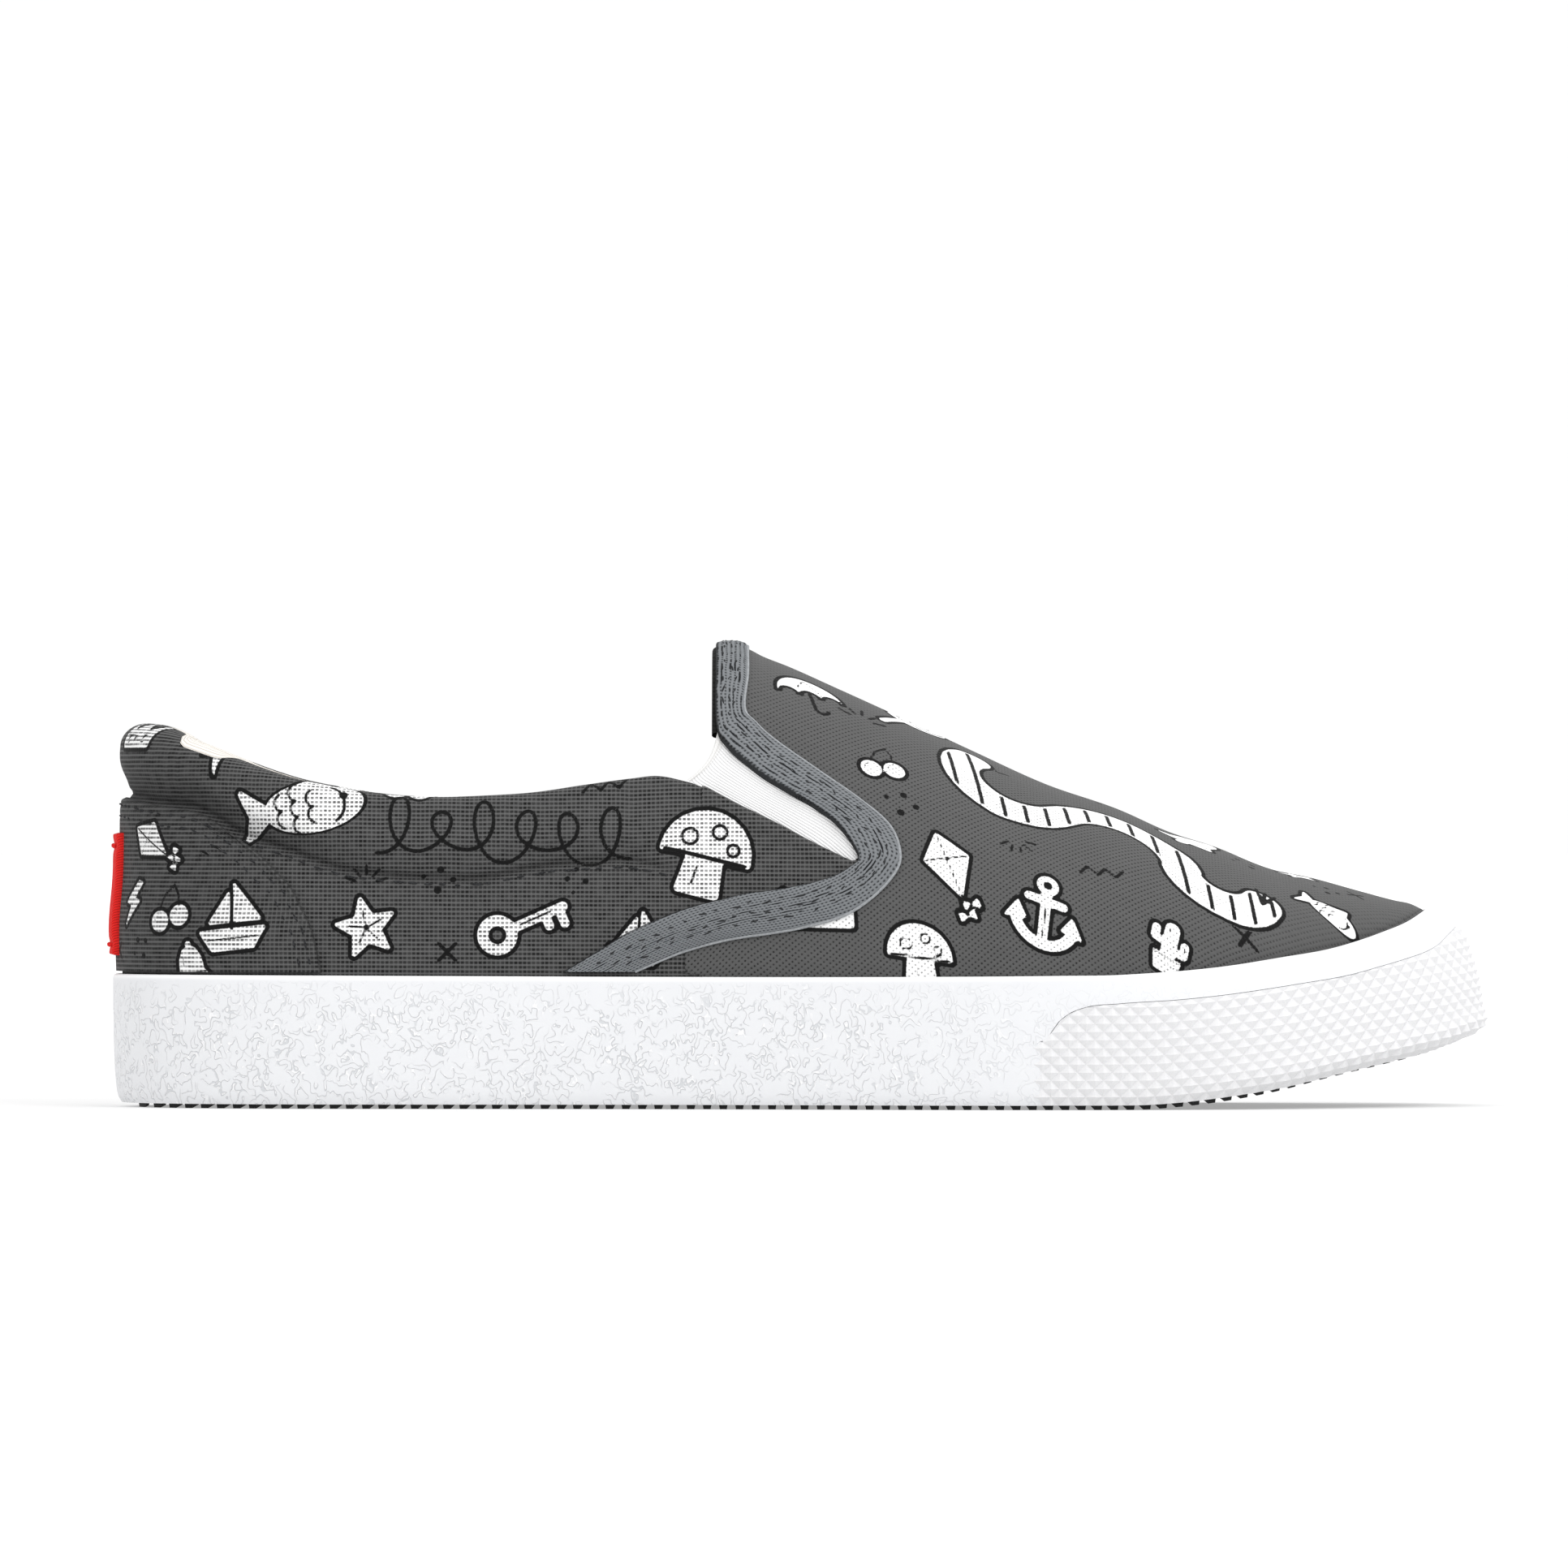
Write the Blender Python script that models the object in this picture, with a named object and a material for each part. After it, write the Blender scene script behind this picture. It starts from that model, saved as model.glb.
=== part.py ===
"""Slip-on low-top sneaker, right shoe: +X toe, -Y outer (lateral) side, +Z up, metres.

All tables hold lengths as shares of LENGTH, widths as shares of BALL_WIDTH and heights as shares of
INSTEP. The feather line, where the upper leaves the foxing, is the curve that everything is offset from.
"""

import bmesh
import bpy
import numpy as np

MM = 0.001
LENGTH = 290.0  # outsole, heel to toe
BALL_WIDTH = 104.0  # foxing across the ball
INSTEP = 97.0  # upper's highest point above the ground
LUG = 0.95  # tread bars below the foxing's lower edge

FOXING_WALL = 1.7
GAP = 0.3  # clearance between curved pieces
SEAT = 0.4  # clearance of a piece laid over the round heel
WALL = 2.0  # upper's canvas and lining
FEATHER = FOXING_WALL + GAP  # feather line inside the foxing's outer face
TOE_LEAN = 11.6  # foxing's top edge behind its widest point at the toe
FLOOR = 10.0  # top of the sole inside, above the foxing's lower edge
PLATE = 3.7  # outsole plate
INSOLE = 4.2
BUMPER = 0.9  # thickness of the toe bumper
BINDING = 1.1
PATCH = 0.9
TAB = 1.1
TAB_WIDTH = 14.0
GORE = 1.2

HEEL_AXIS = 0.1172  # columns behind this fan round it, those ahead cross the shoe squarely
HEEL_ARC = 46.0  # nominal length of the feather line behind the heel axis
THROAT = 0.4355
LEAN = (0.5172, 0.6552)  # where the toe's lean sets in, and where it is full
PUFF_END = (0.2931, 0.4069)  # where the collar's swell fades
BAR_PITCH = 6.8
BAR = 4.8
PUFF = 1.2  # collar's swell
COLLAR_RADIUS = 5.0  # most that the collar's roll rises above its straight wall
SEAM_DROP = 3.5  # row of points below the collar's seam
PAD_BELOW = 8.0  # padding starts this far below the seam
PAD_ABOVE = 4.0  # and is full this far above it
RIM = 0.4  # round of the foxing's top edge
PLATE_INSET = 2.9  # foxing's width under its wall

# feather line: x, half width on the outer side, half width on the inner side
PLAN = (
    (0.0069, 0.0, 0.0),
    (0.0145, 0.1058, 0.1058),
    (0.0345, 0.1971, 0.1971),
    (0.0690, 0.2654, 0.2654),
    (0.1138, 0.3096, 0.3077),
    (0.1655, 0.3327, 0.3250),
    (0.2345, 0.3423, 0.3212),
    (0.3172, 0.3519, 0.3077),
    (0.3966, 0.3702, 0.3125),
    (0.4759, 0.4038, 0.3481),
    (0.5448, 0.4413, 0.3933),
    (0.6069, 0.4721, 0.4346),
    (0.6586, 0.4856, 0.4596),
    (0.7138, 0.4740, 0.4750),
    (0.7552, 0.4510, 0.4721),
    (0.7931, 0.4173, 0.4567),
    (0.8276, 0.3683, 0.4385),
    (0.8586, 0.3048, 0.4135),
    (0.8862, 0.2375, 0.3837),
    (0.9103, 0.1673, 0.3462),
    (0.9276, 0.1029, 0.3019),
    (0.9414, 0.0308, 0.2423),
    (0.9500, -0.0346, 0.1712),
    (0.9531, -0.1010, 0.1010),
)
# foxing: x of the feather line, height of the lower edge, height of the upper edge
SPRING = (
    (0.0, 0.0098, 0.2890),
    (0.6900, 0.0098, 0.2890),
    (0.7241, 0.0098, 0.2902),
    (0.7483, 0.0105, 0.2940),
    (0.7680, 0.0142, 0.2979),
    (0.8055, 0.0270, 0.3093),
    (0.8434, 0.0465, 0.3268),
    (0.8821, 0.0750, 0.3464),
    (0.9203, 0.1030, 0.3814),
    (0.9393, 0.1200, 0.4041),
    (0.9531, 0.1381, 0.4289),
)
# foxing's face: share of its height, inset from its widest line on the sides, and at the toe, in mm
FACE = (
    (0.0, 1.9, 6.8),
    (0.04, 1.2, 3.9),
    (0.08, 0.9, 2.1),
    (0.13, 0.7, 0.3),
    (0.17, 0.6, 0.0),
    (0.27, 0.4, 0.8),
    (0.39, 0.25, 1.3),
    (0.53, 0.12, 2.1),
    (0.68, 0.05, 3.5),
    (0.82, 0.0, 5.0),
    (0.87, 0.0, 6.3),
    (1.0, 0.0, 11.6),
)
# top of the upper along its middle: x, height, how far it stands to the inner side, fullness of the arch
RIDGE = (
    (0.1172, 1.1100, 0.0, 2.0),
    (0.2414, 1.0800, 0.0, 2.0),
    (0.3448, 1.0350, 0.003, 2.0),
    (0.4100, 1.0020, 0.014, 2.0),
    (0.4355, 0.9985, 0.019, 2.0),
    (0.4500, 0.9990, 0.021, 2.0),
    (0.4620, 0.9955, 0.023, 2.0),
    (0.4724, 0.9800, 0.024, 2.0),
    (0.4900, 0.9590, 0.025, 2.0),
    (0.5270, 0.9090, 0.028, 2.01),
    (0.5555, 0.8700, 0.030, 2.02),
    (0.6266, 0.7722, 0.034, 2.05),
    (0.6793, 0.7010, 0.038, 2.1),
    (0.7328, 0.6443, 0.044, 2.15),
    (0.7683, 0.5969, 0.050, 2.2),
    (0.8034, 0.5629, 0.055, 2.2),
    (0.8390, 0.5206, 0.062, 2.2),
    (0.8745, 0.4959, 0.072, 2.15),
    (0.9100, 0.4660, 0.084, 2.1),
    (0.9340, 0.4470, 0.094, 2.05),
    (0.9455, 0.4395, 0.098, 2.0),
    (0.9531, 0.4289, 0.101, 2.0),
)
# collar: x, height of its top, height of the seam below it, thickness of its padding in mm
COLLAR = (
    (0.0069, 0.8250, 0.6825, 11.0),
    (0.0293, 0.8320, 0.6650, 10.5),
    (0.0593, 0.7928, 0.6500, 9.6),
    (0.0948, 0.7505, 0.5960, 8.4),
    (0.1303, 0.7155, 0.5600, 7.4),
    (0.1655, 0.6938, 0.5230, 6.8),
    (0.2010, 0.6784, 0.5070, 6.4),
    (0.2366, 0.6732, 0.5000, 6.0),
    (0.2721, 0.6763, 0.5010, 5.6),
    (0.3076, 0.6835, 0.5220, 5.2),
    (0.3428, 0.6990, 0.5330, 4.6),
    (0.3783, 0.7134, 0.5350, 3.8),
    (0.3959, 0.7186, 0.5250, 3.2),
    (0.4138, 0.7082, 0.5100, 2.6),
    (0.4355, 0.6890, 0.4850, 2.0),
)
# back of the heel: height, inset from the feather line in mm
HEEL_BACK = (
    (0.28, 0.0),
    (0.40, -0.2),
    (0.505, 0.6),
    (0.60, 0.7),
    (0.66, 0.7),
    (0.70, 0.6),
    (0.84, 0.6),
    (1.20, 0.6),
)
# toe bumper: x of the feather line, share of the foxing's height where its top edge lies
BUMPER_TOP = (
    (0.6700, 0.50),
    (0.6759, 0.50),
    (0.6828, 0.62),
    (0.6897, 0.69),
    (0.7034, 0.755),
    (0.7276, 0.78),
    (0.7700, 0.785),
    (0.8450, 0.79),
    (0.9000, 0.79),
    (0.9400, 0.82),
    (0.9531, 0.87),
)
# throat binding, from the foxing up to the throat: x and height of its inner edge, then of its outer edge
BINDING_EDGES = (
    (0.3290, 0.2960, 0.3805, 0.2960),
    (0.3560, 0.3450, 0.4130, 0.3370),
    (0.3780, 0.3840, 0.4420, 0.3620),
    (0.4150, 0.4300, 0.4720, 0.3770),
    (0.4490, 0.4570, 0.5030, 0.3930),
    (0.4880, 0.4760, 0.5330, 0.4200),
    (0.5170, 0.4950, 0.5540, 0.4620),
    (0.5340, 0.5180, 0.5690, 0.5130),
    (0.5415, 0.5450, 0.5720, 0.5560),
    (0.5270, 0.6120, 0.5640, 0.6130),
    (0.5080, 0.6550, 0.5420, 0.6690),
    (0.4860, 0.6930, 0.5130, 0.7290),
    (0.4620, 0.7420, 0.4870, 0.7830),
    (0.4455, 0.7880, 0.4690, 0.8290),
    (0.4395, 0.8300, 0.4600, 0.8640),
)
BINDING_THROAT = 0.4390  # rear edge of the binding over the instep
BINDING_FRONT = 0.4621
# side gore, from its open hem to its tip: x and height of its lower edge, then of its upper edge
GORE_EDGES = (
    (0.4180, 0.7090, 0.4400, 0.8180),
    (0.4262, 0.6969, 0.4552, 0.7610),
    (0.4534, 0.6536, 0.4862, 0.6969),
    (0.4824, 0.6113, 0.5069, 0.6567),
    (0.5103, 0.5670, 0.5262, 0.6165),
    (0.5366, 0.5289, 0.5424, 0.5464),
)
NOTCH_OUTSIDE = ((0.4276, 0.8660), (0.3620, 0.9280), (0.3862, 0.7835))  # corners clear of the wall
# heel patch: height, x of its front edge
PATCH_FRONT = (
    (0.2960, 0.1545),
    (0.3536, 0.1507),
    (0.3990, 0.1462),
    (0.4340, 0.1403),
    (0.4804, 0.1321),
    (0.5113, 0.1224),
    (0.5392, 0.1134),
    (0.5670, 0.1017),
    (0.5948, 0.0876),
    (0.6196, 0.0734),
)
TAB_SPAN = (0.329, 0.595)  # heights of the heel tab's ends

FAN = np.linspace(-1.0, 0.0, 9)[:-1] * HEEL_ARC
REAR = np.array([0.1172, 0.1586, 0.2069, 0.2621, 0.3172, 0.3655, 0.4, 0.4207, 0.4355])
BUMPER_START = (0.6707, 0.6748)  # the foxing steps in between these, behind the bumper
MIDDLE = np.array([0.4355, 0.469, 0.5103, 0.5517, 0.5931, 0.6345])
STEP_COLUMNS = np.array([*BUMPER_START, 0.6828])
TOES = np.array(
    [0.6931, 0.7103, 0.7414, 0.7759, 0.8069, 0.8345, 0.8586, 0.881, 0.9]
    + [0.9155, 0.9276, 0.9372, 0.9445, 0.9493, 0.9521, 0.9531]
)
SIDES = (-1, 1)


def through(rows, at, column=1):
    """Cubic curve through the rows' column over their first column, each slope taken from both neighbours."""
    x, y = np.array(rows, float)[:, [0, column]].T
    slope = np.gradient(y, x)
    at = np.clip(at, x[0], x[-1])
    i = np.clip(np.searchsorted(x, at) - 1, 0, len(x) - 2)
    h = x[i + 1] - x[i]
    t = (at - x[i]) / h
    return (
        (1 + 2 * t) * (1 - t) ** 2 * y[i]
        + t * (1 - t) ** 2 * h * slope[i]
        + t * t * (3 - 2 * t) * y[i + 1]
        + t * t * (t - 1) * h * slope[i + 1]
    )


def ease(value, start, end):
    """0 before start, 1 after end, smooth between."""
    t = np.clip((value - start) / (end - start), 0, 1)
    return t * t * (3 - 2 * t)


def feather_halves():
    """Feather line as (arc length, x, y, outward x, outward y) from heel to toe, for each side."""
    rows = np.array(PLAN) * [LENGTH, BALL_WIDTH, BALL_WIDTH]
    loop = np.vstack([rows[:, [0, 1]] * [1, -1], rows[-2:0:-1, [0, 2]]])
    loop = np.vstack([loop[-3:], loop, loop[:4]])
    along = np.append(0, np.cumsum(np.hypot(*np.diff(loop, axis=0).T)))
    ends = along[[3, 3 + len(rows) - 1, len(loop) - 4]]
    halves = {}
    for side, first, last in ((-1, ends[0], ends[1]), (1, ends[2], ends[1])):
        at = np.linspace(first, last, 1500)
        x = through(np.column_stack([along, loop[:, 0]]), at)
        y = through(np.column_stack([along, loop[:, 1]]), at)
        arc = np.append(0, np.cumsum(np.hypot(np.diff(x), np.diff(y))))
        tx, ty = np.gradient(x, arc), np.gradient(y, arc)
        length = np.hypot(tx, ty)
        halves[side] = np.array([arc, x, y, -side * ty / length, side * tx / length])
        halves[side][3:, 0] = (-1, 0)
        halves[side][3:, -1] = (1, 0)
    return halves


HALVES = feather_halves()


def feather(q, side):
    """Point and outward normal of the feather line at column q, and how far the toe's lean applies there."""
    arc, x, y, nx, ny = HALVES[side]
    axis = HEEL_AXIS * LENGTH
    axis_arc = np.interp(axis, x, arc)
    ahead = np.interp(axis + np.maximum(q, 0), np.maximum.accumulate(x), arc)
    s = np.where(q < 0, axis_arc * (1 + q / HEEL_ARC), ahead)
    s = np.where(q > x[-1] - axis - 0.01, arc[-1], s)
    out = [np.interp(s, arc, each) for each in (x, y, nx, ny)]
    size = np.hypot(out[2], out[3])
    out[2], out[3] = out[2] / size, out[3] / size
    return *out, np.maximum(out[2], 0) ** 1.5 * ease(out[0] / LENGTH, *LEAN)


def column_at(x):
    return x - HEEL_AXIS * LENGTH


def lower_edge(x):
    return through(SPRING, x / LENGTH, 1) * INSTEP


def upper_edge(x):
    return through(SPRING, x / LENGTH, 2) * INSTEP


def face(share, lean):
    """Distance of the foxing's face outside the feather line."""
    return FEATHER - (1 - lean) * through(FACE, share, 1) + lean * (TOE_LEAN - through(FACE, share, 2))


def ring(q, side, share, out):
    """Point at a share of the foxing's height, out mm outside its face."""
    x, y, nx, ny, lean = feather(q, side)
    reach = face(share, lean) + out
    z = lower_edge(x) + share * (upper_edge(x) - lower_edge(x))
    return np.stack(np.broadcast_arrays(x + nx * reach, y + ny * reach, z), -1)


def lift(q, side, height, out):
    """Point height mm above the foxing's lower edge, out mm outside the face at that height."""
    x = feather(q, side)[0]
    return ring(q, side, height / (upper_edge(x) - lower_edge(x)), out)


def collar(x, column):
    scale = (0, INSTEP, INSTEP, 1)[column]
    return through(COLLAR, x / LENGTH, column) * scale


def foot(q, side, inset):
    """Where column q starts, for a skin inset mm inside the upper's face."""
    x, y, nx, ny, lean = feather(q, side)
    tilt = np.radians(60) * lean
    level = inset * np.cos(tilt)
    return x - level * nx, y - level * ny, upper_edge(x) - inset * np.sin(tilt)


def arch(q, side, inset):
    """Foot and axis of column q in plan, then its foot's height, its rise and its fullness."""
    bx, by, bz = foot(q, side, inset)
    ax = (foot(q, -1, inset)[0] + foot(q, 1, inset)[0]) / 2
    ax = np.where(q < 0, HEEL_AXIS * LENGTH, ax)
    ay = through(RIDGE, ax / LENGTH, 2) * BALL_WIDTH
    top = through(RIDGE, ax / LENGTH, 1) * INSTEP
    step = (through(RIDGE, (ax + 1) / LENGTH, 1) - through(RIDGE, (ax - 1) / LENGTH, 1)) * INSTEP / 2
    rise = np.maximum(top - inset * np.hypot(1, np.clip(step, -0.6, 0.6)) - bz, 0)
    return bx, by, ax, ay, bz, rise, through(RIDGE, ax / LENGTH, 3)


def skin(q, side, angle, inset):
    """Point of the skin inset mm inside the upper's face: angle 0 at the foxing, a right angle on the ridge."""
    bx, by, ax, ay, bz, rise, full = arch(q, side, inset)
    z = bz + rise * np.sin(angle) ** (2 / full)
    reach = np.maximum(np.hypot(bx - ax, by - ay), 1e-6)
    inward = reach * (1 - np.maximum(np.cos(angle), 0) ** (2 / full))
    back = ((ax - bx) / reach) ** 2
    inward = np.where(q < 0, (1 - back) * inward + back * through(HEEL_BACK, z / INSTEP), inward)
    share = (z - collar(bx, 2)) / (collar(bx, 1) - collar(bx, 2))
    swell = PUFF * np.sin(np.pi * np.clip(share, 0, 1)) ** 0.7 * (1 - ease(bx / LENGTH, *PUFF_END)) * (inset <= 0)
    scale = (reach - inward + swell) / reach
    points = (ax + (bx - ax) * scale, ay + (by - ay) * scale, z)
    return np.stack(np.broadcast_arrays(*points), -1)


def angle_at(q, side, z, inset):
    bz, rise, full = arch(q, side, inset)[4:]
    return np.arcsin(np.clip((z - bz) / np.maximum(rise, 1e-6), 0, 1) ** (full / 2))


def at_height(q, side, z, inset):
    return skin(q, side, angle_at(q, side, z, inset), inset)


class Body:
    """Grids of points that share their edges, welded into one closed mesh."""

    def __init__(self):
        self.points, self.faces, self.count = [], [], 0

    def grid(self, points):
        points = np.asarray(points, float)
        m, n = points.shape[:2]
        index = self.count + np.arange(m * n).reshape(m, n)
        corners = index[:-1, :-1], index[1:, :-1], index[1:, 1:], index[:-1, 1:]
        a, b, c, d = (each.ravel() for each in corners)
        self.faces += [np.column_stack([a, b, c]), np.column_stack([a, c, d])]
        self.points.append(points.reshape(-1, 3))
        self.count += m * n

    def slab(self, face, back):
        """Closes the space between two grids of one size."""
        self.grid(face)
        self.grid(back)
        for edge in (np.s_[0], np.s_[-1], np.s_[:, 0], np.s_[:, -1]):
            self.grid(np.stack([face[edge], back[edge]], axis=1))

    def loft(self, sections):
        """Joins closed sections, given as rows of points, and caps both ends."""
        sections = np.asarray(sections, float)
        self.grid(np.concatenate([sections, sections[:, :1]], axis=1))
        for end in (sections[0], sections[-1]):
            half = len(end) // 2
            self.grid(np.stack([end[:half], end[half:][::-1]], axis=1))

    def build(self, name, colour, roughness):
        points = np.concatenate(self.points) - [LENGTH / 2, 0, 0]
        faces = np.concatenate(self.faces)
        _, first, index = np.unique(np.round(points, 3), axis=0, return_index=True, return_inverse=True)
        faces = index.reshape(-1)[faces]
        spans = (faces != np.roll(faces, 1, axis=1)).all(axis=1)
        mesh = bpy.data.meshes.new(name)
        mesh.from_pydata((points[first] * MM).tolist(), [], faces[spans].tolist())
        work = bmesh.new()
        work.from_mesh(mesh)
        bmesh.ops.delete(work, geom=[v for v in work.verts if not v.link_faces], context="VERTS")
        bmesh.ops.recalc_face_normals(work, faces=work.faces)
        work.to_mesh(mesh)
        work.free()
        material = bpy.data.materials.new(name)
        material.use_nodes = True
        shader = material.node_tree.nodes["Principled BSDF"]
        shader.inputs["Base Color"].default_value = (*colour, 1)
        shader.inputs["Roughness"].default_value = roughness
        mesh.materials.append(material)
        return bpy.data.objects.new(name, mesh)


def around(rows_of, q):
    """rows_of along the outer side from heel to toe, then along the inner side from toe to heel."""
    return np.concatenate([rows_of(q[:, None], -1), rows_of(q[::-1, None], 1)])


AHEAD = np.concatenate([MIDDLE[1:], STEP_COLUMNS, TOES])
ALL = np.concatenate([FAN, column_at(REAR * LENGTH), column_at(AHEAD * LENGTH)])


def recess(x, share):
    """How far the foxing's face is set back under the toe bumper."""
    return (BUMPER + GAP) * ease(x / LENGTH, *BUMPER_START) * (share < through(BUMPER_TOP, x / LENGTH))


def foxing():
    body = Body()
    shares = np.array([0.0, 0.04, 0.13, 0.3])

    def outer(q, side):
        x = feather(q, side)[0]
        top = through(BUMPER_TOP, x / LENGTH)
        rows = [share + 0 * x for share in shares]
        rows += [top - 0.001, top + 0.001, 0.5 * top + 0.46, 0.985 + 0 * x]
        share = np.concatenate(rows, axis=1)
        return ring(q, side, share, -recess(x, share))

    def rim(q, side):
        zero = 0 * feather(q, side)[0]
        share = np.concatenate([0.985 + zero, 1.0 + zero, 1.0 + zero, 0.985 + zero], axis=1)
        out = np.concatenate([zero, zero - RIM, zero + 0.75 * RIM - FOXING_WALL, zero - FOXING_WALL], axis=1)
        return ring(q, side, share, out)

    def inner(q, side):
        x = feather(q, side)[0]
        floor = FLOOR / (upper_edge(x) - lower_edge(x))
        share = np.concatenate([0.985 + 0 * x, 0.93 + 0 * x, 0.85 + 0 * x, 0.62 + 0 * x, floor], axis=1)
        return ring(q, side, share, -FOXING_WALL)

    def base(q, side):
        x = feather(q, side)[0]
        edge = ring(q, side, 0 * x, -recess(x, 0 * x))
        inside = ring(q, side, 0 * x, -PLATE_INSET + 0 * x)
        return np.concatenate([edge, inside, inside + [0, 0, PLATE + GAP]], axis=1)

    for rows_of in (outer, rim, inner, base):
        body.grid(around(rows_of, ALL))
    for rows_of in (inner, base):
        edge = [rows_of(ALL[:, None], side)[:, -1] for side in SIDES]
        body.grid(np.stack([edge[0], (edge[0] + edge[1]) / 2, edge[1]], axis=1))
    return body.build("foxing", (0.86, 0.87, 0.88), 0.55)


def outsole():
    body = Body()
    q = np.concatenate([np.linspace(-HEEL_ARC, 0, 40), np.linspace(1, ALL[-1] - 12, 120)])
    q = np.concatenate([q, ALL[-1] - 12 * np.linspace(0.999, 0, 60) ** 2])
    edges = {side: ring(q, side, 0 * q, -PLATE_INSET - GAP + 0 * q) for side in SIDES}
    first, last = edges[1][0, 0], edges[1][-1, 0]
    middle = LENGTH / 2
    centres = middle + BAR_PITCH * np.arange(-21, 21)
    centres = centres[(centres - BAR / 2 > first + 3) & (centres + BAR / 2 < last - 2)]
    stops = [(x, 0.0) for x in first + 12 * np.array([0, 0.01, 0.05, 0.12, 0.22])]
    stops += [(x, 0.0) for x in last - 10 * np.array([0, 0.012, 0.05, 0.11, 0.2])]
    for centre in centres:
        for x in (centre - BAR / 2, centre + BAR / 2):
            stops += [(x, 0.0), (x, LUG)]
    start = [(centre - BAR / 2) for centre in centres]
    order = sorted(stops, key=lambda stop: (stop[0], stop[1] if stop[0] in start else -stop[1]))
    x, drop = np.array(order).T
    lines = []
    for side in (-1, 0, 1):
        both = [np.interp(x, edges[s][:, 0], edges[s][:, 1]) for s in SIDES]
        y = both[0] if side < 0 else both[1] if side > 0 else (both[0] + both[1]) / 2
        z = np.interp(x, edges[1][:, 0], edges[1][:, 2])
        lines.append(np.column_stack([x, y, z]))
    lines = np.stack(lines, axis=1)
    low = lines - np.stack([0 * drop, 0 * drop, drop], -1)[:, None]
    body.grid(low)
    body.grid(lines + [0, 0, PLATE])
    for side in (0, 2):
        body.grid(np.stack([low[:, side], lines[:, side] + [0, 0, PLATE]], axis=1))
    return body.build("outsole", (0.02, 0.02, 0.022), 0.7)


def insole():
    body = Body()
    out = -(FOXING_WALL + GAP + WALL + GAP)

    def edge(q, side):
        low = lift(q, side, FLOOR + GAP, out)
        high = lift(q, side, FLOOR + GAP + INSOLE, out)
        return np.concatenate([low, low * 0.15 + high * 0.85, high], axis=1)

    body.grid(around(edge, ALL))
    for row in (0, -1):
        sides = [edge(ALL[:, None], side)[:, row] for side in SIDES]
        body.grid(np.stack([sides[0], (sides[0] + sides[1]) / 2, sides[1]], axis=1))
    return body.build("insole", (0.80, 0.79, 0.75), 0.9)


def toe_bumper():
    body = Body()
    start = column_at((BUMPER_START[1] + 0.0014) * LENGTH)
    q = np.append(start, ALL[ALL > start + GAP])

    def section(q, side):
        x = feather(q, side)[0]
        top = through(BUMPER_TOP, x / LENGTH) - 0.012
        share = np.concatenate([0.004 + 0 * x, 0.04 + 0 * x, 0.13 + 0 * x, 0.3 + 0 * x, top], axis=1)
        rows = [ring(q, side, share, 0 * share), ring(q, side, share, 0 * share - BUMPER)[:, ::-1]]
        return np.concatenate(rows, axis=1)

    body.loft(around(section, q))
    return body.build("toe_bumper", (0.88, 0.88, 0.88), 0.5)


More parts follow.
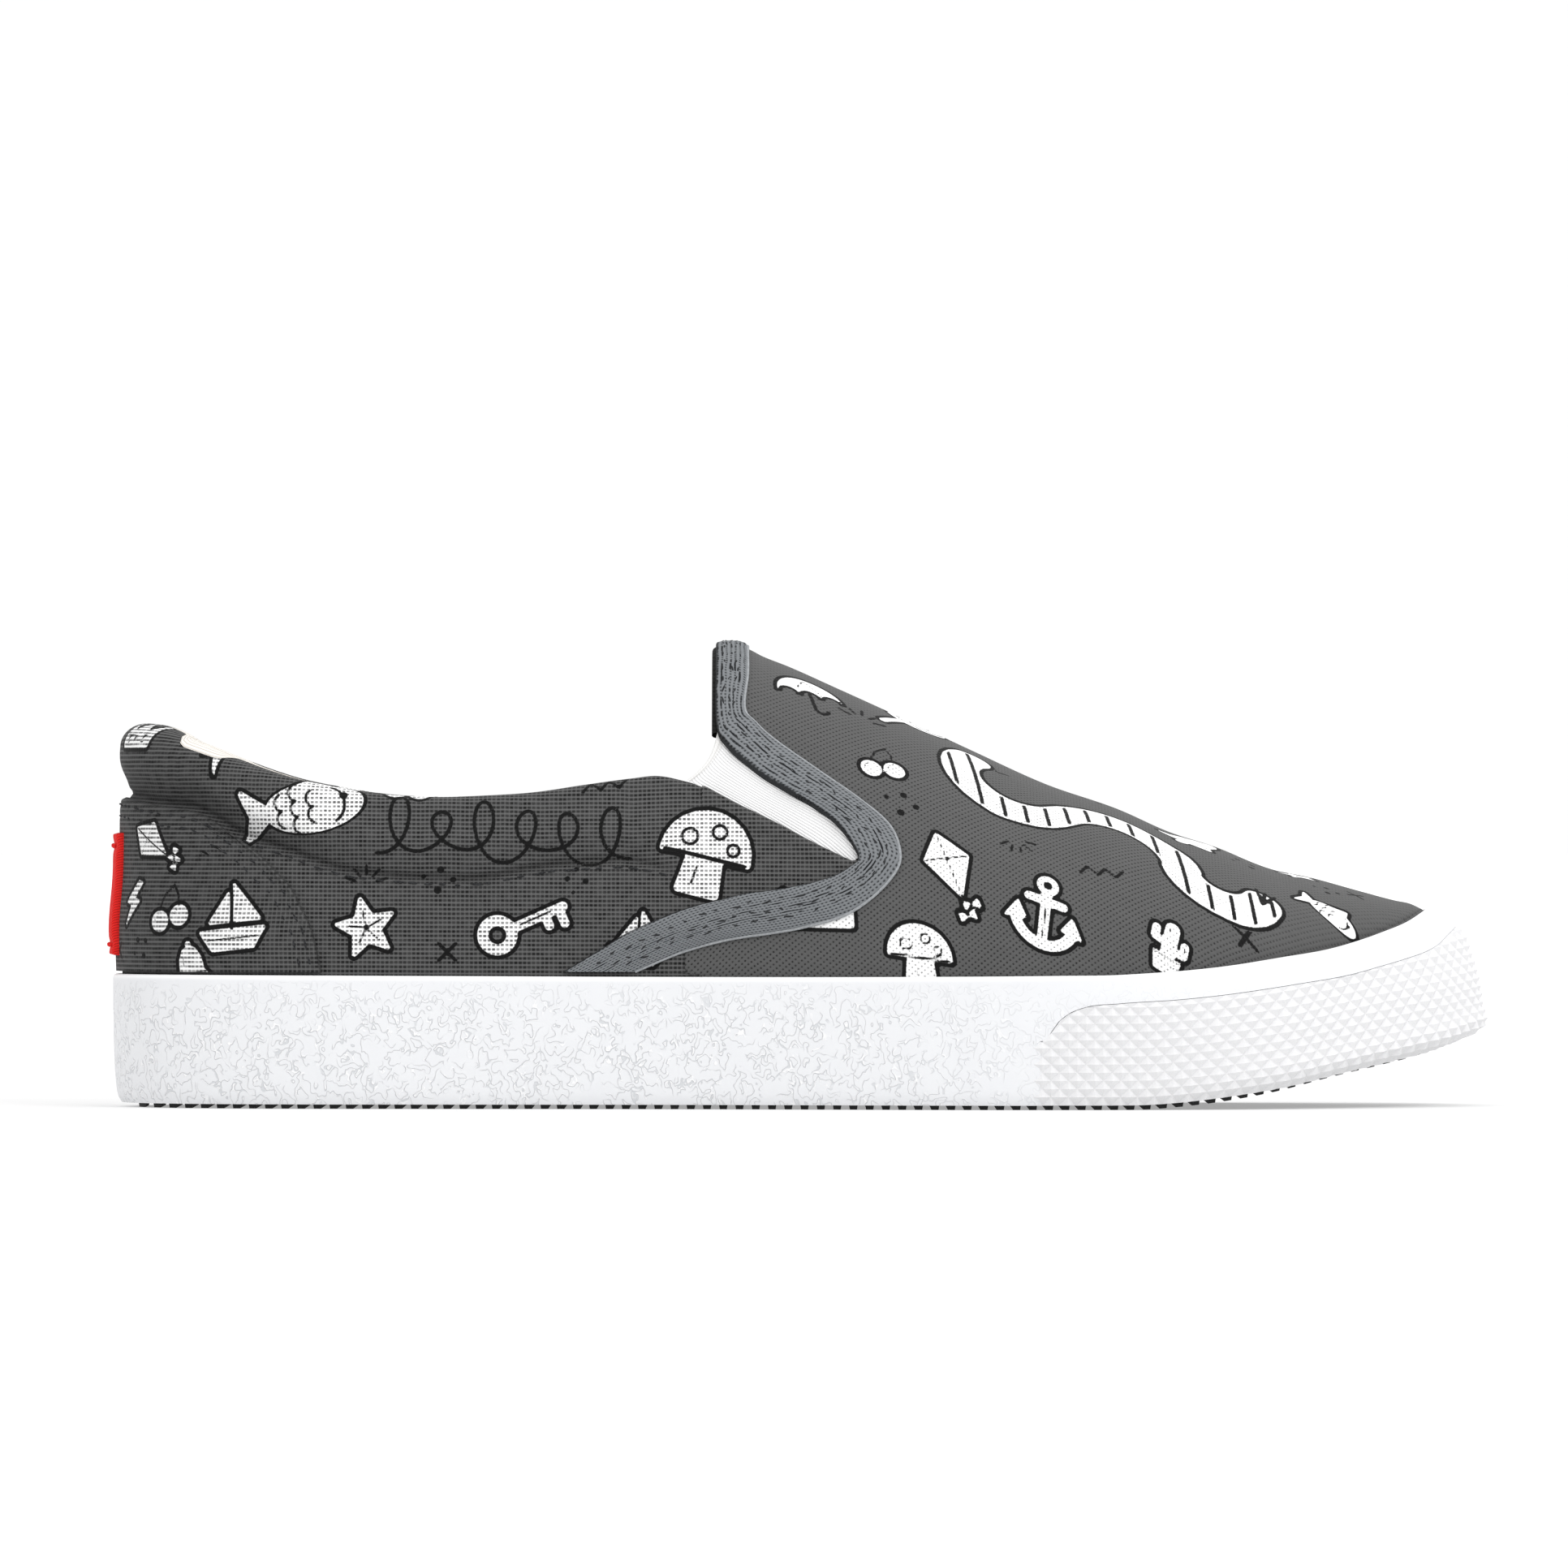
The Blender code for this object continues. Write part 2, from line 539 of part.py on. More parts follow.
def upper():
    body = Body()
    rear = np.concatenate([FAN, column_at(REAR * LENGTH)])
    front = column_at(np.concatenate([MIDDLE, BUMPER_START[:1], TOES[1:]]) * LENGTH)
    levels = np.array([0.0, 0.28, 0.52, 0.66, 0.8, 1.0])
    roll = np.radians([0, 35, 90, 145, 180])

    def wall(q, side, inset):
        """The wall inside the foxing, from the sole up to the feather line."""
        x = feather(q, side)[0]
        low = (FLOOR + GAP) / (upper_edge(x) - lower_edge(x))
        share = np.concatenate([low, 0.62 + 0 * x, 0.85 + 0 * x, 0.93 + 0 * x], axis=1)
        rows = ring(q, side, share, -FEATHER - inset)
        return np.concatenate([rows, skin(q, side, 0 * x, inset + 0 * x)], axis=1)

    def rise(q, side):
        """Top of the straight wall and thickness there."""
        bx, by, ax, ay = arch(q, side, 0 * q)[:4]
        pad = collar(bx, 3)
        crest = bx + (ax - bx) / np.hypot(ax - bx, ay - by) * pad / 2
        radius = np.minimum(pad / 2, COLLAR_RADIUS)
        return collar(crest, 1) - radius, pad, radius

    def heights(q, side):
        x = feather(q, side)[0]
        end = rise(q, side)[0]
        seam = np.minimum(collar(x, 2), end - PAD_ABOVE)
        low = upper_edge(x)
        rows = [low, low + 0.5 * (seam - low), seam - SEAM_DROP, seam, 0.55 * seam + 0.45 * end, end]
        return np.concatenate(rows, axis=1)

    def outside(q, side):
        return at_height(q, side, heights(q, side), 0 * heights(q, side))

    def inside(q, side):
        z = heights(q, side)
        seam = z[:, 3:4]
        pad = rise(q, side)[1]
        inset = WALL + (pad - WALL) * ease(z, seam - PAD_BELOW, seam + PAD_ABOVE)
        return at_height(q, side, z, inset)

    def rolled(q, side):
        """The collar's top, from its outer wall over to its inner wall."""
        start, end = outside(q, side)[:, -1:], inside(q, side)[:, -1:]
        up = np.zeros((len(q), 1, 3))
        up[..., 2] = 1
        up[-1] = (-0.7, 0, 0.7)
        across = (start - end) / 2 * np.cos(roll)[None, :, None]
        lifted = up * rise(q, side)[2][..., None] * np.sin(roll)[None, :, None]
        return (start + end) / 2 + across + lifted

    edge = front[:1, None]
    angles = {}
    for inset in (0.0, WALL):
        low = angle_at(edge, -1, heights(edge, -1), inset)[0]
        angles[inset] = np.concatenate([[0], low[1:], np.linspace(low[-1], np.pi / 2, 7)[1:]])

    def section(q, side, inset):
        return skin(q, side, angles[inset][None, :], inset)

    for side in SIDES:
        for inset in (0.0, WALL):
            body.grid(wall(rear[:, None], side, inset))
            body.grid(wall(front[:, None], side, inset))
            body.grid(section(front[:, None], side, inset))
        body.grid(outside(rear[:, None], side))
        body.grid(inside(rear[:, None], side))
        body.grid(rolled(rear[:, None], side))
        for q in (rear, front):
            low = [wall(q[:, None], side, inset)[:, :1] for inset in (0.0, WALL)]
            body.grid(np.concatenate(low, axis=1))
        rows = [section(edge, side, inset)[0, len(levels) - 1 :] for inset in (0.0, WALL)]
        back = np.tile([-1.0, 0, 0], (len(rows[0]), 1))
        back[0] = (-0.7, 0, 0.7)
        mean = (rows[0] + rows[1]) / 2
        arcs = mean[:, None] + (rows[0] - mean)[:, None] * np.cos(roll)[None, :, None]
        body.grid(arcs + back[:, None] * WALL / 2 * np.sin(roll)[None, :, None])
    return body.build("upper", (0.13, 0.13, 0.13), 0.85)


def gore_edges(count):
    """Gore's lower and upper edges in side view, as x and height, at evenly shared stations."""
    rows = np.column_stack([np.arange(len(GORE_EDGES)), np.array(GORE_EDGES)])
    at = np.linspace(0, len(rows) - 1, count)
    scales = (LENGTH, INSTEP, LENGTH, INSTEP)
    return np.stack([through(rows, at, i + 1) * scale for i, scale in enumerate(scales)], axis=-1)


def gore_cutter():
    """Prism through both sides of the upper, one gap larger all round than the gores."""
    edges = gore_edges(16)
    lower = edges[:, :2] - [2 * GAP, 1.3 * GAP]
    upper_line = edges[:, 2:] + [GAP, GAP]
    tip = (lower[-1:] + upper_line[-1:]) / 2 + [5 * GAP, -3 * GAP]
    outside = np.array(NOTCH_OUTSIDE) * [LENGTH, INSTEP]
    outline = np.vstack([lower, tip, upper_line[::-1], outside])
    work = bmesh.new()
    rows = [(x - LENGTH / 2, -BALL_WIDTH, z) for x, z in outline]
    flat = work.faces.new([work.verts.new([each * MM for each in row]) for row in rows])
    made = bmesh.ops.extrude_face_region(work, geom=[flat])["geom"]
    moved = [item for item in made if isinstance(item, bmesh.types.BMVert)]
    bmesh.ops.translate(work, verts=moved, vec=(0, 2 * BALL_WIDTH * MM, 0))
    bmesh.ops.recalc_face_normals(work, faces=work.faces)
    mesh = bpy.data.meshes.new("gore_cutter")
    work.to_mesh(mesh)
    work.free()
    return bpy.data.objects.new("gore_cutter", mesh)


def gore(name, side):
    edges = gore_edges(11)
    across = np.linspace(0, 1, 4)[None, :]
    x = edges[:, :1] * (1 - across) + edges[:, 2:3] * across
    z = edges[:, 1:2] * (1 - across) + edges[:, 3:] * across
    skins = [at_height(column_at(x), side, z, inset) for inset in (0.4, 0.4 + GORE)]
    body = Body()
    body.slab(*skins)
    return body.build(name, (0.85, 0.85, 0.84), 0.9)


def throat_binding():
    rows = np.array(BINDING_EDGES) * [LENGTH, INSTEP, LENGTH, INSTEP]
    path = [
        [column_at(x), angle_at(column_at(x), -1, z, -GAP), column_at(u), angle_at(column_at(u), -1, v, -GAP)]
        for x, z, u, v in rows
    ]
    start, end = column_at(BINDING_THROAT * LENGTH), column_at(BINDING_FRONT * LENGTH)
    path += [[start, each, end, each] for each in np.radians([66, 78, 90])]
    path += [[start, np.pi - each, end, np.pi - each] for each in np.radians([78])]
    path = np.column_stack([np.arange(len(path)), np.array(path)])
    at = np.linspace(0, len(path) - 2, 2 * len(path) - 5)
    near, near_angle, far, far_angle = (through(path, at, i)[:, None] for i in (1, 2, 3, 4))
    across = np.array([[0.0, 0.5, 1.0]])
    q = near * (1 - across) + far * across
    angle = np.minimum(near_angle * (1 - across) + far_angle * across, np.pi / 2)
    sheets = []
    for inset in (-GAP, -GAP - BINDING):
        outer, inner = skin(q, -1, angle, inset), skin(q, 1, angle, inset)
        sheets.append(np.concatenate([outer, inner[-2::-1]]))
    body = Body()
    body.slab(*sheets)
    return body.build("throat_binding", (0.20, 0.22, 0.23), 0.85)


def heel_counter():
    """Patch from the foxing up to the collar's seam, and forward to its curved front edge."""
    front = [(height * INSTEP, column_at(x * LENGTH)) for height, x in PATCH_FRONT]
    low = upper_edge(0) + 2 * GAP
    across = np.linspace(0, 1, 11)[None, :]
    up = 1 - np.linspace(1, 0, 8)[:, None] ** 1.7
    q = -HEEL_ARC + across * (HEEL_ARC + 0 * up)
    for _ in range(12):
        x = feather(q, -1)[0]
        z = low + up * (collar(x, 2) - 1.0 - low)
        q = -HEEL_ARC + across * (HEEL_ARC + through(front, z))
    sheets = []
    for inset in (-SEAT, -SEAT - PATCH):
        outer, inner = at_height(q, -1, z, inset), at_height(q, 1, z, inset)
        sheets.append(np.concatenate([outer[:, ::-1], inner[:, 1:]], axis=1))
    body = Body()
    body.slab(*sheets)
    return body.build("heel_counter", (0.12, 0.12, 0.12), 0.85)


def heel_tab():
    z = np.linspace(*TAB_SPAN, 5)[:, None] * INSTEP
    across = np.linspace(0, TAB_WIDTH / 2, 4)[None, :]
    q = -HEEL_ARC + across + 0 * z
    z = z + 0 * q
    base = -SEAT - PATCH - GAP
    sheets = []
    for inset in (base, base - TAB):
        outer, inner = at_height(q, -1, z, inset), at_height(q, 1, z, inset)
        sheets.append(np.concatenate([outer[:, ::-1], inner[:, 1:]], axis=1))
    body = Body()
    body.slab(*sheets)
    return body.build("heel_tab", (0.75, 0.03, 0.03), 0.7)


def main():
    for item in list(bpy.data.objects):
        bpy.data.objects.remove(item)
    shoe = bpy.data.collections.new("slip_on_sneaker")
    cutters = bpy.data.collections.new("cutters")
    for collection in (shoe, cutters):
        bpy.context.scene.collection.children.link(collection)
    shell = upper()
    cutter = gore_cutter()
    cutter.hide_render = True
    cutter.display_type = "WIRE"
    cutters.objects.link(cutter)
    notch = shell.modifiers.new("gore notches", "BOOLEAN")
    notch.operation = "DIFFERENCE"
    notch.solver = "EXACT"
    notch.object = cutter
    parts = [foxing(), outsole(), insole(), toe_bumper(), shell, throat_binding(), heel_counter()]
    parts += [heel_tab(), gore("gore_lateral", -1), gore("gore_medial", 1)]
    for part in parts:
        shoe.objects.link(part)


main()
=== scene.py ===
"""Looks of a slip-on low-top sneaker, a right shoe, built round its solids: +X toe, -Y outer side, +Z up.

Shapes are worked out in millimetres from the heel, as the solids are, and put into meshes in metres.
Tables hold lengths as shares of LENGTH, widths as shares of BALL_WIDTH and heights as shares of INSTEP.
"""

import bmesh
import bpy
import mathutils
import numpy as np
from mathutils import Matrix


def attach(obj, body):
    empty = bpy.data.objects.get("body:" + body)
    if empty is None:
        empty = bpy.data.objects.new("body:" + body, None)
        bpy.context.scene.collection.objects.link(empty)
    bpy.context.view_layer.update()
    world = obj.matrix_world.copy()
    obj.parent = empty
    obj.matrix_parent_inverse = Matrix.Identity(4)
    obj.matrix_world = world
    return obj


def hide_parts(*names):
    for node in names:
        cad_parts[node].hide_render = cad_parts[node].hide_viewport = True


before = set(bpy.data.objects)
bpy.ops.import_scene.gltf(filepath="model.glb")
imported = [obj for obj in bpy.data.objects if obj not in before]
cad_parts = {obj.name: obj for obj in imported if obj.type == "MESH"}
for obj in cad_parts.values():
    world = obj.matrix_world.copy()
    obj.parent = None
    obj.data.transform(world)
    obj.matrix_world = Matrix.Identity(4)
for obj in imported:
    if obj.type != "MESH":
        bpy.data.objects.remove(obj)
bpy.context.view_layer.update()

MM = 0.001
LENGTH = 290.0
BALL_WIDTH = 104.0
INSTEP = 97.0
LUG = 0.95
LUG_PITCH = 3.4
FOXING_WALL = 1.7
FOXING_HEIGHT = 27.0
RIM_START = 0.975  # share of the foxing's height where its top edge begins to round
TREAD_EDGE = 2.9  # from the foxing's face in to its groove for the tread
FLOOR_REACH = 9.0  # from the foxing's face in to the end of the midsole's floor
GAP = 0.3
SEAT = 0.4
WALL = 2.0
FEATHER = FOXING_WALL + GAP
TOE_LEAN = 11.6
TOE_TILT = 60.0  # degrees, of the upper's foot at the toe
FLOOR = 10.0
PLATE = 3.7
INSOLE = 4.2
BUMPER = 0.9
BINDING = 1.1
CORD = 0.34  # radius of the cord in front of the binding
PATCH = 0.9
TAB = 1.1
TAB_WIDTH = 14.0
GORE = 1.2
GORE_RIB = 0.62
WEAVE = 0.93
HEEL_AXIS = 34.0
HEEL_ARC = 46.0
THROAT = 126.3
PUFF = 1.2
BUMPER_REAR = 194.4
COLLAR_RADIUS = 5.0
SIDES = (-1, 1)  # outer side, inner side

# feather line, where the upper leaves the foxing: x, half width on the outer side, on the inner side
PLAN = (
    (0.0069, 0.0, 0.0), (0.0145, 0.1058, 0.1058), (0.0345, 0.1971, 0.1971), (0.069, 0.2654, 0.2654),
    (0.1138, 0.3096, 0.3077), (0.1655, 0.3327, 0.325), (0.2345, 0.3423, 0.3212), (0.3172, 0.3519, 0.3077),
    (0.3966, 0.3702, 0.3125), (0.4759, 0.4038, 0.3481), (0.5448, 0.4413, 0.3933), (0.6069, 0.4721, 0.4346),
    (0.6586, 0.4856, 0.4596), (0.7138, 0.474, 0.475), (0.7552, 0.451, 0.4721), (0.7931, 0.4173, 0.4567),
    (0.8276, 0.3683, 0.4385), (0.8586, 0.3048, 0.4135), (0.8862, 0.2375, 0.3837), (0.9103, 0.1673, 0.3462),
    (0.9276, 0.1029, 0.3019), (0.9414, 0.0308, 0.2423), (0.95, -0.0346, 0.1712), (0.9531, -0.101, 0.101),
)
# foxing: x of the feather line, height of the lower edge, height of the upper edge
SPRING = (
    (0.0, 0.0098, 0.289), (0.69, 0.0098, 0.289), (0.7241, 0.0098, 0.2902), (0.7483, 0.0105, 0.294),
    (0.768, 0.0142, 0.2979), (0.8055, 0.027, 0.3093), (0.8434, 0.0465, 0.3268), (0.8821, 0.075, 0.3464),
    (0.9203, 0.103, 0.3814), (0.9393, 0.12, 0.4041), (0.9531, 0.1381, 0.4289),
)
# foxing's face: share of its height, inset from its widest line on the sides, and at the toe, in mm
FACE = (
    (0.0, 1.9, 6.8), (0.04, 1.2, 3.9), (0.08, 0.9, 2.1), (0.13, 0.7, 0.3), (0.17, 0.6, 0.0),
    (0.27, 0.4, 0.8), (0.39, 0.25, 1.3), (0.53, 0.12, 2.1), (0.68, 0.05, 3.5), (0.82, 0.0, 5.0),
    (0.87, 0.0, 6.3), (1.0, 0.0, 11.6),
)
# top of the upper along its middle: x, height, how far it stands to the inner side, fullness of the arch
RIDGE = (
    (0.1172, 1.11, 0.0, 2.0), (0.2414, 1.08, 0.0, 2.0), (0.3448, 1.035, 0.003, 2.0),
    (0.41, 1.002, 0.014, 2.0), (0.4355, 0.9985, 0.019, 2.0), (0.45, 0.999, 0.021, 2.0),
    (0.462, 0.9955, 0.023, 2.0), (0.4724, 0.98, 0.024, 2.0), (0.49, 0.959, 0.025, 2.0),
    (0.527, 0.909, 0.028, 2.01), (0.5555, 0.87, 0.03, 2.02), (0.6266, 0.7722, 0.034, 2.05),
    (0.6793, 0.701, 0.038, 2.1), (0.7328, 0.6443, 0.044, 2.15), (0.7683, 0.5969, 0.05, 2.2),
    (0.8034, 0.5629, 0.055, 2.2), (0.839, 0.5206, 0.062, 2.2), (0.8745, 0.4959, 0.072, 2.15),
    (0.91, 0.466, 0.084, 2.1), (0.934, 0.447, 0.094, 2.05), (0.9455, 0.4395, 0.098, 2.0),
    (0.9531, 0.4289, 0.101, 2.0),
)
# collar: x, height of its top, height of the seam below it, thickness of its padding in mm
COLLAR = (
    (0.0069, 0.825, 0.6825, 11.0), (0.0293, 0.832, 0.665, 10.5), (0.0593, 0.7928, 0.65, 9.6),
    (0.0948, 0.7505, 0.596, 8.4), (0.1303, 0.7155, 0.56, 7.4), (0.1655, 0.6938, 0.523, 6.8),
    (0.201, 0.6784, 0.507, 6.4), (0.2366, 0.6732, 0.5, 6.0), (0.2721, 0.6763, 0.501, 5.6),
    (0.3076, 0.6835, 0.522, 5.2), (0.3428, 0.699, 0.533, 4.6), (0.3783, 0.7134, 0.535, 3.8),
    (0.3959, 0.7186, 0.525, 3.2), (0.4138, 0.7082, 0.51, 2.6), (0.4355, 0.689, 0.485, 2.0),
)
# back of the heel: height, inset from the feather line in mm
HEEL_BACK = (
    (0.28, 0.0), (0.4, -0.2), (0.505, 0.6), (0.6, 0.7), (0.66, 0.7), (0.7, 0.6), (0.84, 0.6), (1.2, 0.6),
)
# toe bumper: x of the feather line, share of the foxing's height where its top edge lies
BUMPER_TOP = (
    (0.67, 0.5), (0.6759, 0.5), (0.6828, 0.62), (0.6897, 0.69), (0.7034, 0.755), (0.7276, 0.78),
    (0.77, 0.785), (0.845, 0.79), (0.9, 0.79), (0.94, 0.82), (0.9531, 0.87),
)
# throat binding, from the foxing up to the throat: x and height of its inner edge, then of its outer edge
BINDING_EDGES = (
    (0.329, 0.296, 0.3805, 0.296), (0.356, 0.345, 0.413, 0.337), (0.378, 0.384, 0.442, 0.362),
    (0.415, 0.43, 0.472, 0.377), (0.449, 0.457, 0.503, 0.393), (0.488, 0.476, 0.533, 0.42),
    (0.517, 0.495, 0.554, 0.462), (0.534, 0.518, 0.569, 0.513), (0.5415, 0.545, 0.572, 0.556),
    (0.527, 0.612, 0.564, 0.613), (0.508, 0.655, 0.542, 0.669), (0.486, 0.693, 0.513, 0.729),
    (0.462, 0.742, 0.487, 0.783), (0.4455, 0.788, 0.469, 0.829), (0.4395, 0.83, 0.46, 0.864),
)
BINDING_THROAT = 127.3
BINDING_FRONT = 134.0
# side gore, from its open hem to its tip: x and height of its lower edge, then of its upper edge
GORE_EDGES = (
    (0.418, 0.709, 0.44, 0.818), (0.4262, 0.6969, 0.4552, 0.761), (0.4534, 0.6536, 0.4862, 0.6969),
    (0.4824, 0.6113, 0.5069, 0.6567), (0.5103, 0.567, 0.5262, 0.6165), (0.5366, 0.5289, 0.5424, 0.5464),
)
# heel patch: height, x of its front edge
PATCH_FRONT = (
    (0.296, 0.1545), (0.3536, 0.1507), (0.399, 0.1462), (0.434, 0.1403), (0.4804, 0.1321), (0.5113, 0.1224),
    (0.5392, 0.1134), (0.567, 0.1017), (0.5948, 0.0876), (0.6196, 0.0734),
)
TAB_SPAN = (0.329, 0.595)
TACKS = (34.2, 55.0)  # heights of the two bar tacks that hold the label
PATCH_DROP = 1.0  # from the collar's seam down to the patch's top
FRONT_ROWS = (1.9, 4.2)  # rows of stitches, from the patch's front edge
TOP_ROWS = (1.5, 3.9)  # rows of stitches, below the patch's top


def through(rows, at, column=1):
    """Cubic curve through a column of the rows over their first, each slope taken from both neighbours."""
    x, y = np.array(rows, float)[:, [0, column]].T
    slope = np.gradient(y, x)
    at = np.clip(at, x[0], x[-1])
    i = np.clip(np.searchsorted(x, at) - 1, 0, len(x) - 2)
    h = x[i + 1] - x[i]
    t = (at - x[i]) / h
    return (
        (1 + 2 * t) * (1 - t) ** 2 * y[i]
        + t * (1 - t) ** 2 * h * slope[i]
        + t * t * (3 - 2 * t) * y[i + 1]
        + t * t * (t - 1) * h * slope[i + 1]
    )


def ease(value, start, end):
    """0 before start, 1 after end, and 3t^2 - 2t^3 between."""
    t = np.clip((value - start) / (end - start), 0, 1)
    return t * t * (3 - 2 * t)


def bell(distance, width):
    """Soft hump, 1 where the distance is 0, falling as exp(-(distance / width)^2)."""
    return np.exp(-((distance / width) ** 2))


def feather_halves():
    """Feather line as (arc length, x, y, outward x, outward y) from heel to toe, for each side."""
    rows = np.array(PLAN) * [LENGTH, BALL_WIDTH, BALL_WIDTH]
    loop = np.vstack([rows[:, [0, 1]] * [1, -1], rows[-2:0:-1, [0, 2]]])
    loop = np.vstack([loop[-3:], loop, loop[:4]])
    along = np.append(0, np.cumsum(np.hypot(*np.diff(loop, axis=0).T)))
    ends = along[[3, 3 + len(rows) - 1, len(loop) - 4]]
    halves = {}
    for side, first, last in ((-1, ends[0], ends[1]), (1, ends[2], ends[1])):
        at = np.linspace(first, last, 1500)
        x = through(np.column_stack([along, loop[:, 0]]), at)
        y = through(np.column_stack([along, loop[:, 1]]), at)
        arc = np.append(0, np.cumsum(np.hypot(np.diff(x), np.diff(y))))
        tx, ty = np.gradient(x, arc), np.gradient(y, arc)
        length = np.hypot(tx, ty)
        halves[side] = np.array([arc, x, y, -side * ty / length, side * tx / length])
        halves[side][3:, 0] = (-1, 0)
        halves[side][3:, -1] = (1, 0)
    return halves


HALVES = feather_halves()


def arc_at(q, side):
    """Arc length of the feather line from the heel to column q.

    Columns fan round the heel where q is under 0, and cross the shoe at x = q + HEEL_AXIS ahead of it."""
    arc, x = HALVES[side][:2]
    ahead = np.interp(HEEL_AXIS + np.maximum(q, 0), np.maximum.accumulate(x), arc)
    return np.where(q < 0, np.interp(HEEL_AXIS, x, arc) * (1 + q / HEEL_ARC), ahead)


def feather(q, side):
    """Point and outward normal of the feather line at column q, and how far the toe's lean applies."""
    arc, x, y, nx, ny = HALVES[side]
    s = np.where(q > x[-1] - HEEL_AXIS - 0.01, arc[-1], arc_at(q, side))
    x, y, nx, ny = (np.interp(s, arc, each) for each in (x, y, nx, ny))
    size = np.hypot(nx, ny)
    return x, y, nx / size, ny / size, np.maximum(nx / size, 0) ** 1.5 * ease(x, 150, 190)


def at_x(q, side):
    """x of the feather line at column q."""
    return feather(q, side)[0]


def columns(side, start, end, step):
    """Columns evenly spaced along the feather line's arc between two columns."""
    arc, x = HALVES[side][:2]
    axis_arc = np.interp(HEEL_AXIS, x, arc)
    first, last = arc_at(np.array([start, end]), side)
    s = np.linspace(first, last, int(abs(last - first) / step) + 2)
    q = np.where(s < axis_arc, HEEL_ARC * (s / axis_arc - 1), np.interp(s, arc, x) - HEEL_AXIS)
    q[0], q[-1] = start, end
    return q


TOE = HALVES[-1][1][-1] - HEEL_AXIS  # last column


def lower_edge(x):
    return through(SPRING, x / LENGTH, 1) * INSTEP


def upper_edge(x):
    return through(SPRING, x / LENGTH, 2) * INSTEP


def face(share, lean):
    """Distance of the foxing's face outside the feather line."""
    return FEATHER - (1 - lean) * through(FACE, share, 1) + lean * (TOE_LEAN - through(FACE, share, 2))


def ring(q, side, share, out):
    """Point at a share of the foxing's height, out mm outside its face."""
    x, y, nx, ny, lean = feather(q, side)
    reach = face(share, lean) + out
    z = lower_edge(x) + share * (upper_edge(x) - lower_edge(x))
    return np.stack(np.broadcast_arrays(x + nx * reach, y + ny * reach, z), -1)


def lift(q, side, height, out):
    """Point height mm above the foxing's lower edge, out mm outside the face at that height."""
    x = at_x(q, side)
    return ring(q, side, height / (upper_edge(x) - lower_edge(x)), out)


def collar(x, column):
    scale = (0, INSTEP, INSTEP, 1)[column]
    return through(COLLAR, x / LENGTH, column) * scale


def foot(q, side, inset):
    """Where column q starts, for a skin inset mm inside the upper's face."""
    x, y, nx, ny, lean = feather(q, side)
    tilt = np.radians(TOE_TILT) * lean
    level = inset * np.cos(tilt)
    return x - level * nx, y - level * ny, upper_edge(x) - inset * np.sin(tilt)


def arch(q, side, inset):
    """Foot and axis of column q in plan, then its foot's height, its rise and its fullness."""
    bx, by, bz = foot(q, side, inset)
    ax = (foot(q, -1, inset)[0] + foot(q, 1, inset)[0]) / 2
    ax = np.where(q < 0, HEEL_AXIS, ax)
    ay = through(RIDGE, ax / LENGTH, 2) * BALL_WIDTH
    top = through(RIDGE, ax / LENGTH, 1) * INSTEP
    step = (through(RIDGE, (ax + 1) / LENGTH, 1) - through(RIDGE, (ax - 1) / LENGTH, 1)) * INSTEP / 2
    rise = np.maximum(top - inset * np.hypot(1, np.clip(step, -0.6, 0.6)) - bz, 0)
    return bx, by, ax, ay, bz, rise, through(RIDGE, ax / LENGTH, 3)


def skin(q, side, angle, inset, puff=1.0):
    """Point of the skin inset mm inside the upper's face: angle 0 at the foxing, pi / 2 on the ridge.

    A column is a superellipse from its foot to its axis, bent at the heel to the heel's back line."""
    bx, by, ax, ay, bz, rise, full = arch(q, side, inset)
    z = bz + rise * np.sin(angle) ** (2 / full)
    reach = np.maximum(np.hypot(bx - ax, by - ay), 1e-6)
    inward = reach * (1 - np.maximum(np.cos(angle), 0) ** (2 / full))
    back = ((ax - bx) / reach) ** 2
    inward = np.where(q < 0, (1 - back) * inward + back * through(HEEL_BACK, z / INSTEP), inward)
    share = (z - collar(bx, 2)) / (collar(bx, 1) - collar(bx, 2))
    swell = PUFF * puff * np.sin(np.pi * np.clip(share, 0, 1)) ** 0.7 * (1 - ease(bx, 85, 118))
    scale = (reach - inward + swell) / reach
    points = (ax + (bx - ax) * scale, ay + (by - ay) * scale, z)
    return np.stack(np.broadcast_arrays(*points), -1)


def angle_at(q, side, z, inset):
    """Angle at which column q reaches height z."""
    bz, rise, full = arch(q, side, inset)[4:]
    return np.arcsin(np.clip((z - bz) / np.maximum(rise, 1e-6), 0, 1) ** (full / 2))


def at_height(q, side, z, inset, puff=1.0):
    return skin(q, side, angle_at(q, side, z, inset), inset, puff)


def lerp(a, b, t):
    return a * (1 - t) + b * t


def unit(v):
    return v / np.maximum(np.linalg.norm(v, axis=-1, keepdims=True), 1e-9)


def run(points):
    """Distance along each row of a grid from its first point."""
    steps = np.linalg.norm(np.diff(points, axis=1), axis=-1)
    return np.concatenate([0 * steps[:, :1], np.cumsum(steps, axis=1)], axis=1)


def heel_joined(outer, inner):
    """One grid across the heel's middle, from two halves that both start there."""
    return np.concatenate([outer[:, ::-1], inner[:, 1:]], axis=1)


def put(name, data, at=(0, 0, 0), turn=(0, 0, 0)):
    """New object in the scene, at a place in metres."""
    made = bpy.data.objects.new(name, data)
    made.location, made.rotation_euler = at, turn
    bpy.context.scene.collection.objects.link(made)
    return made


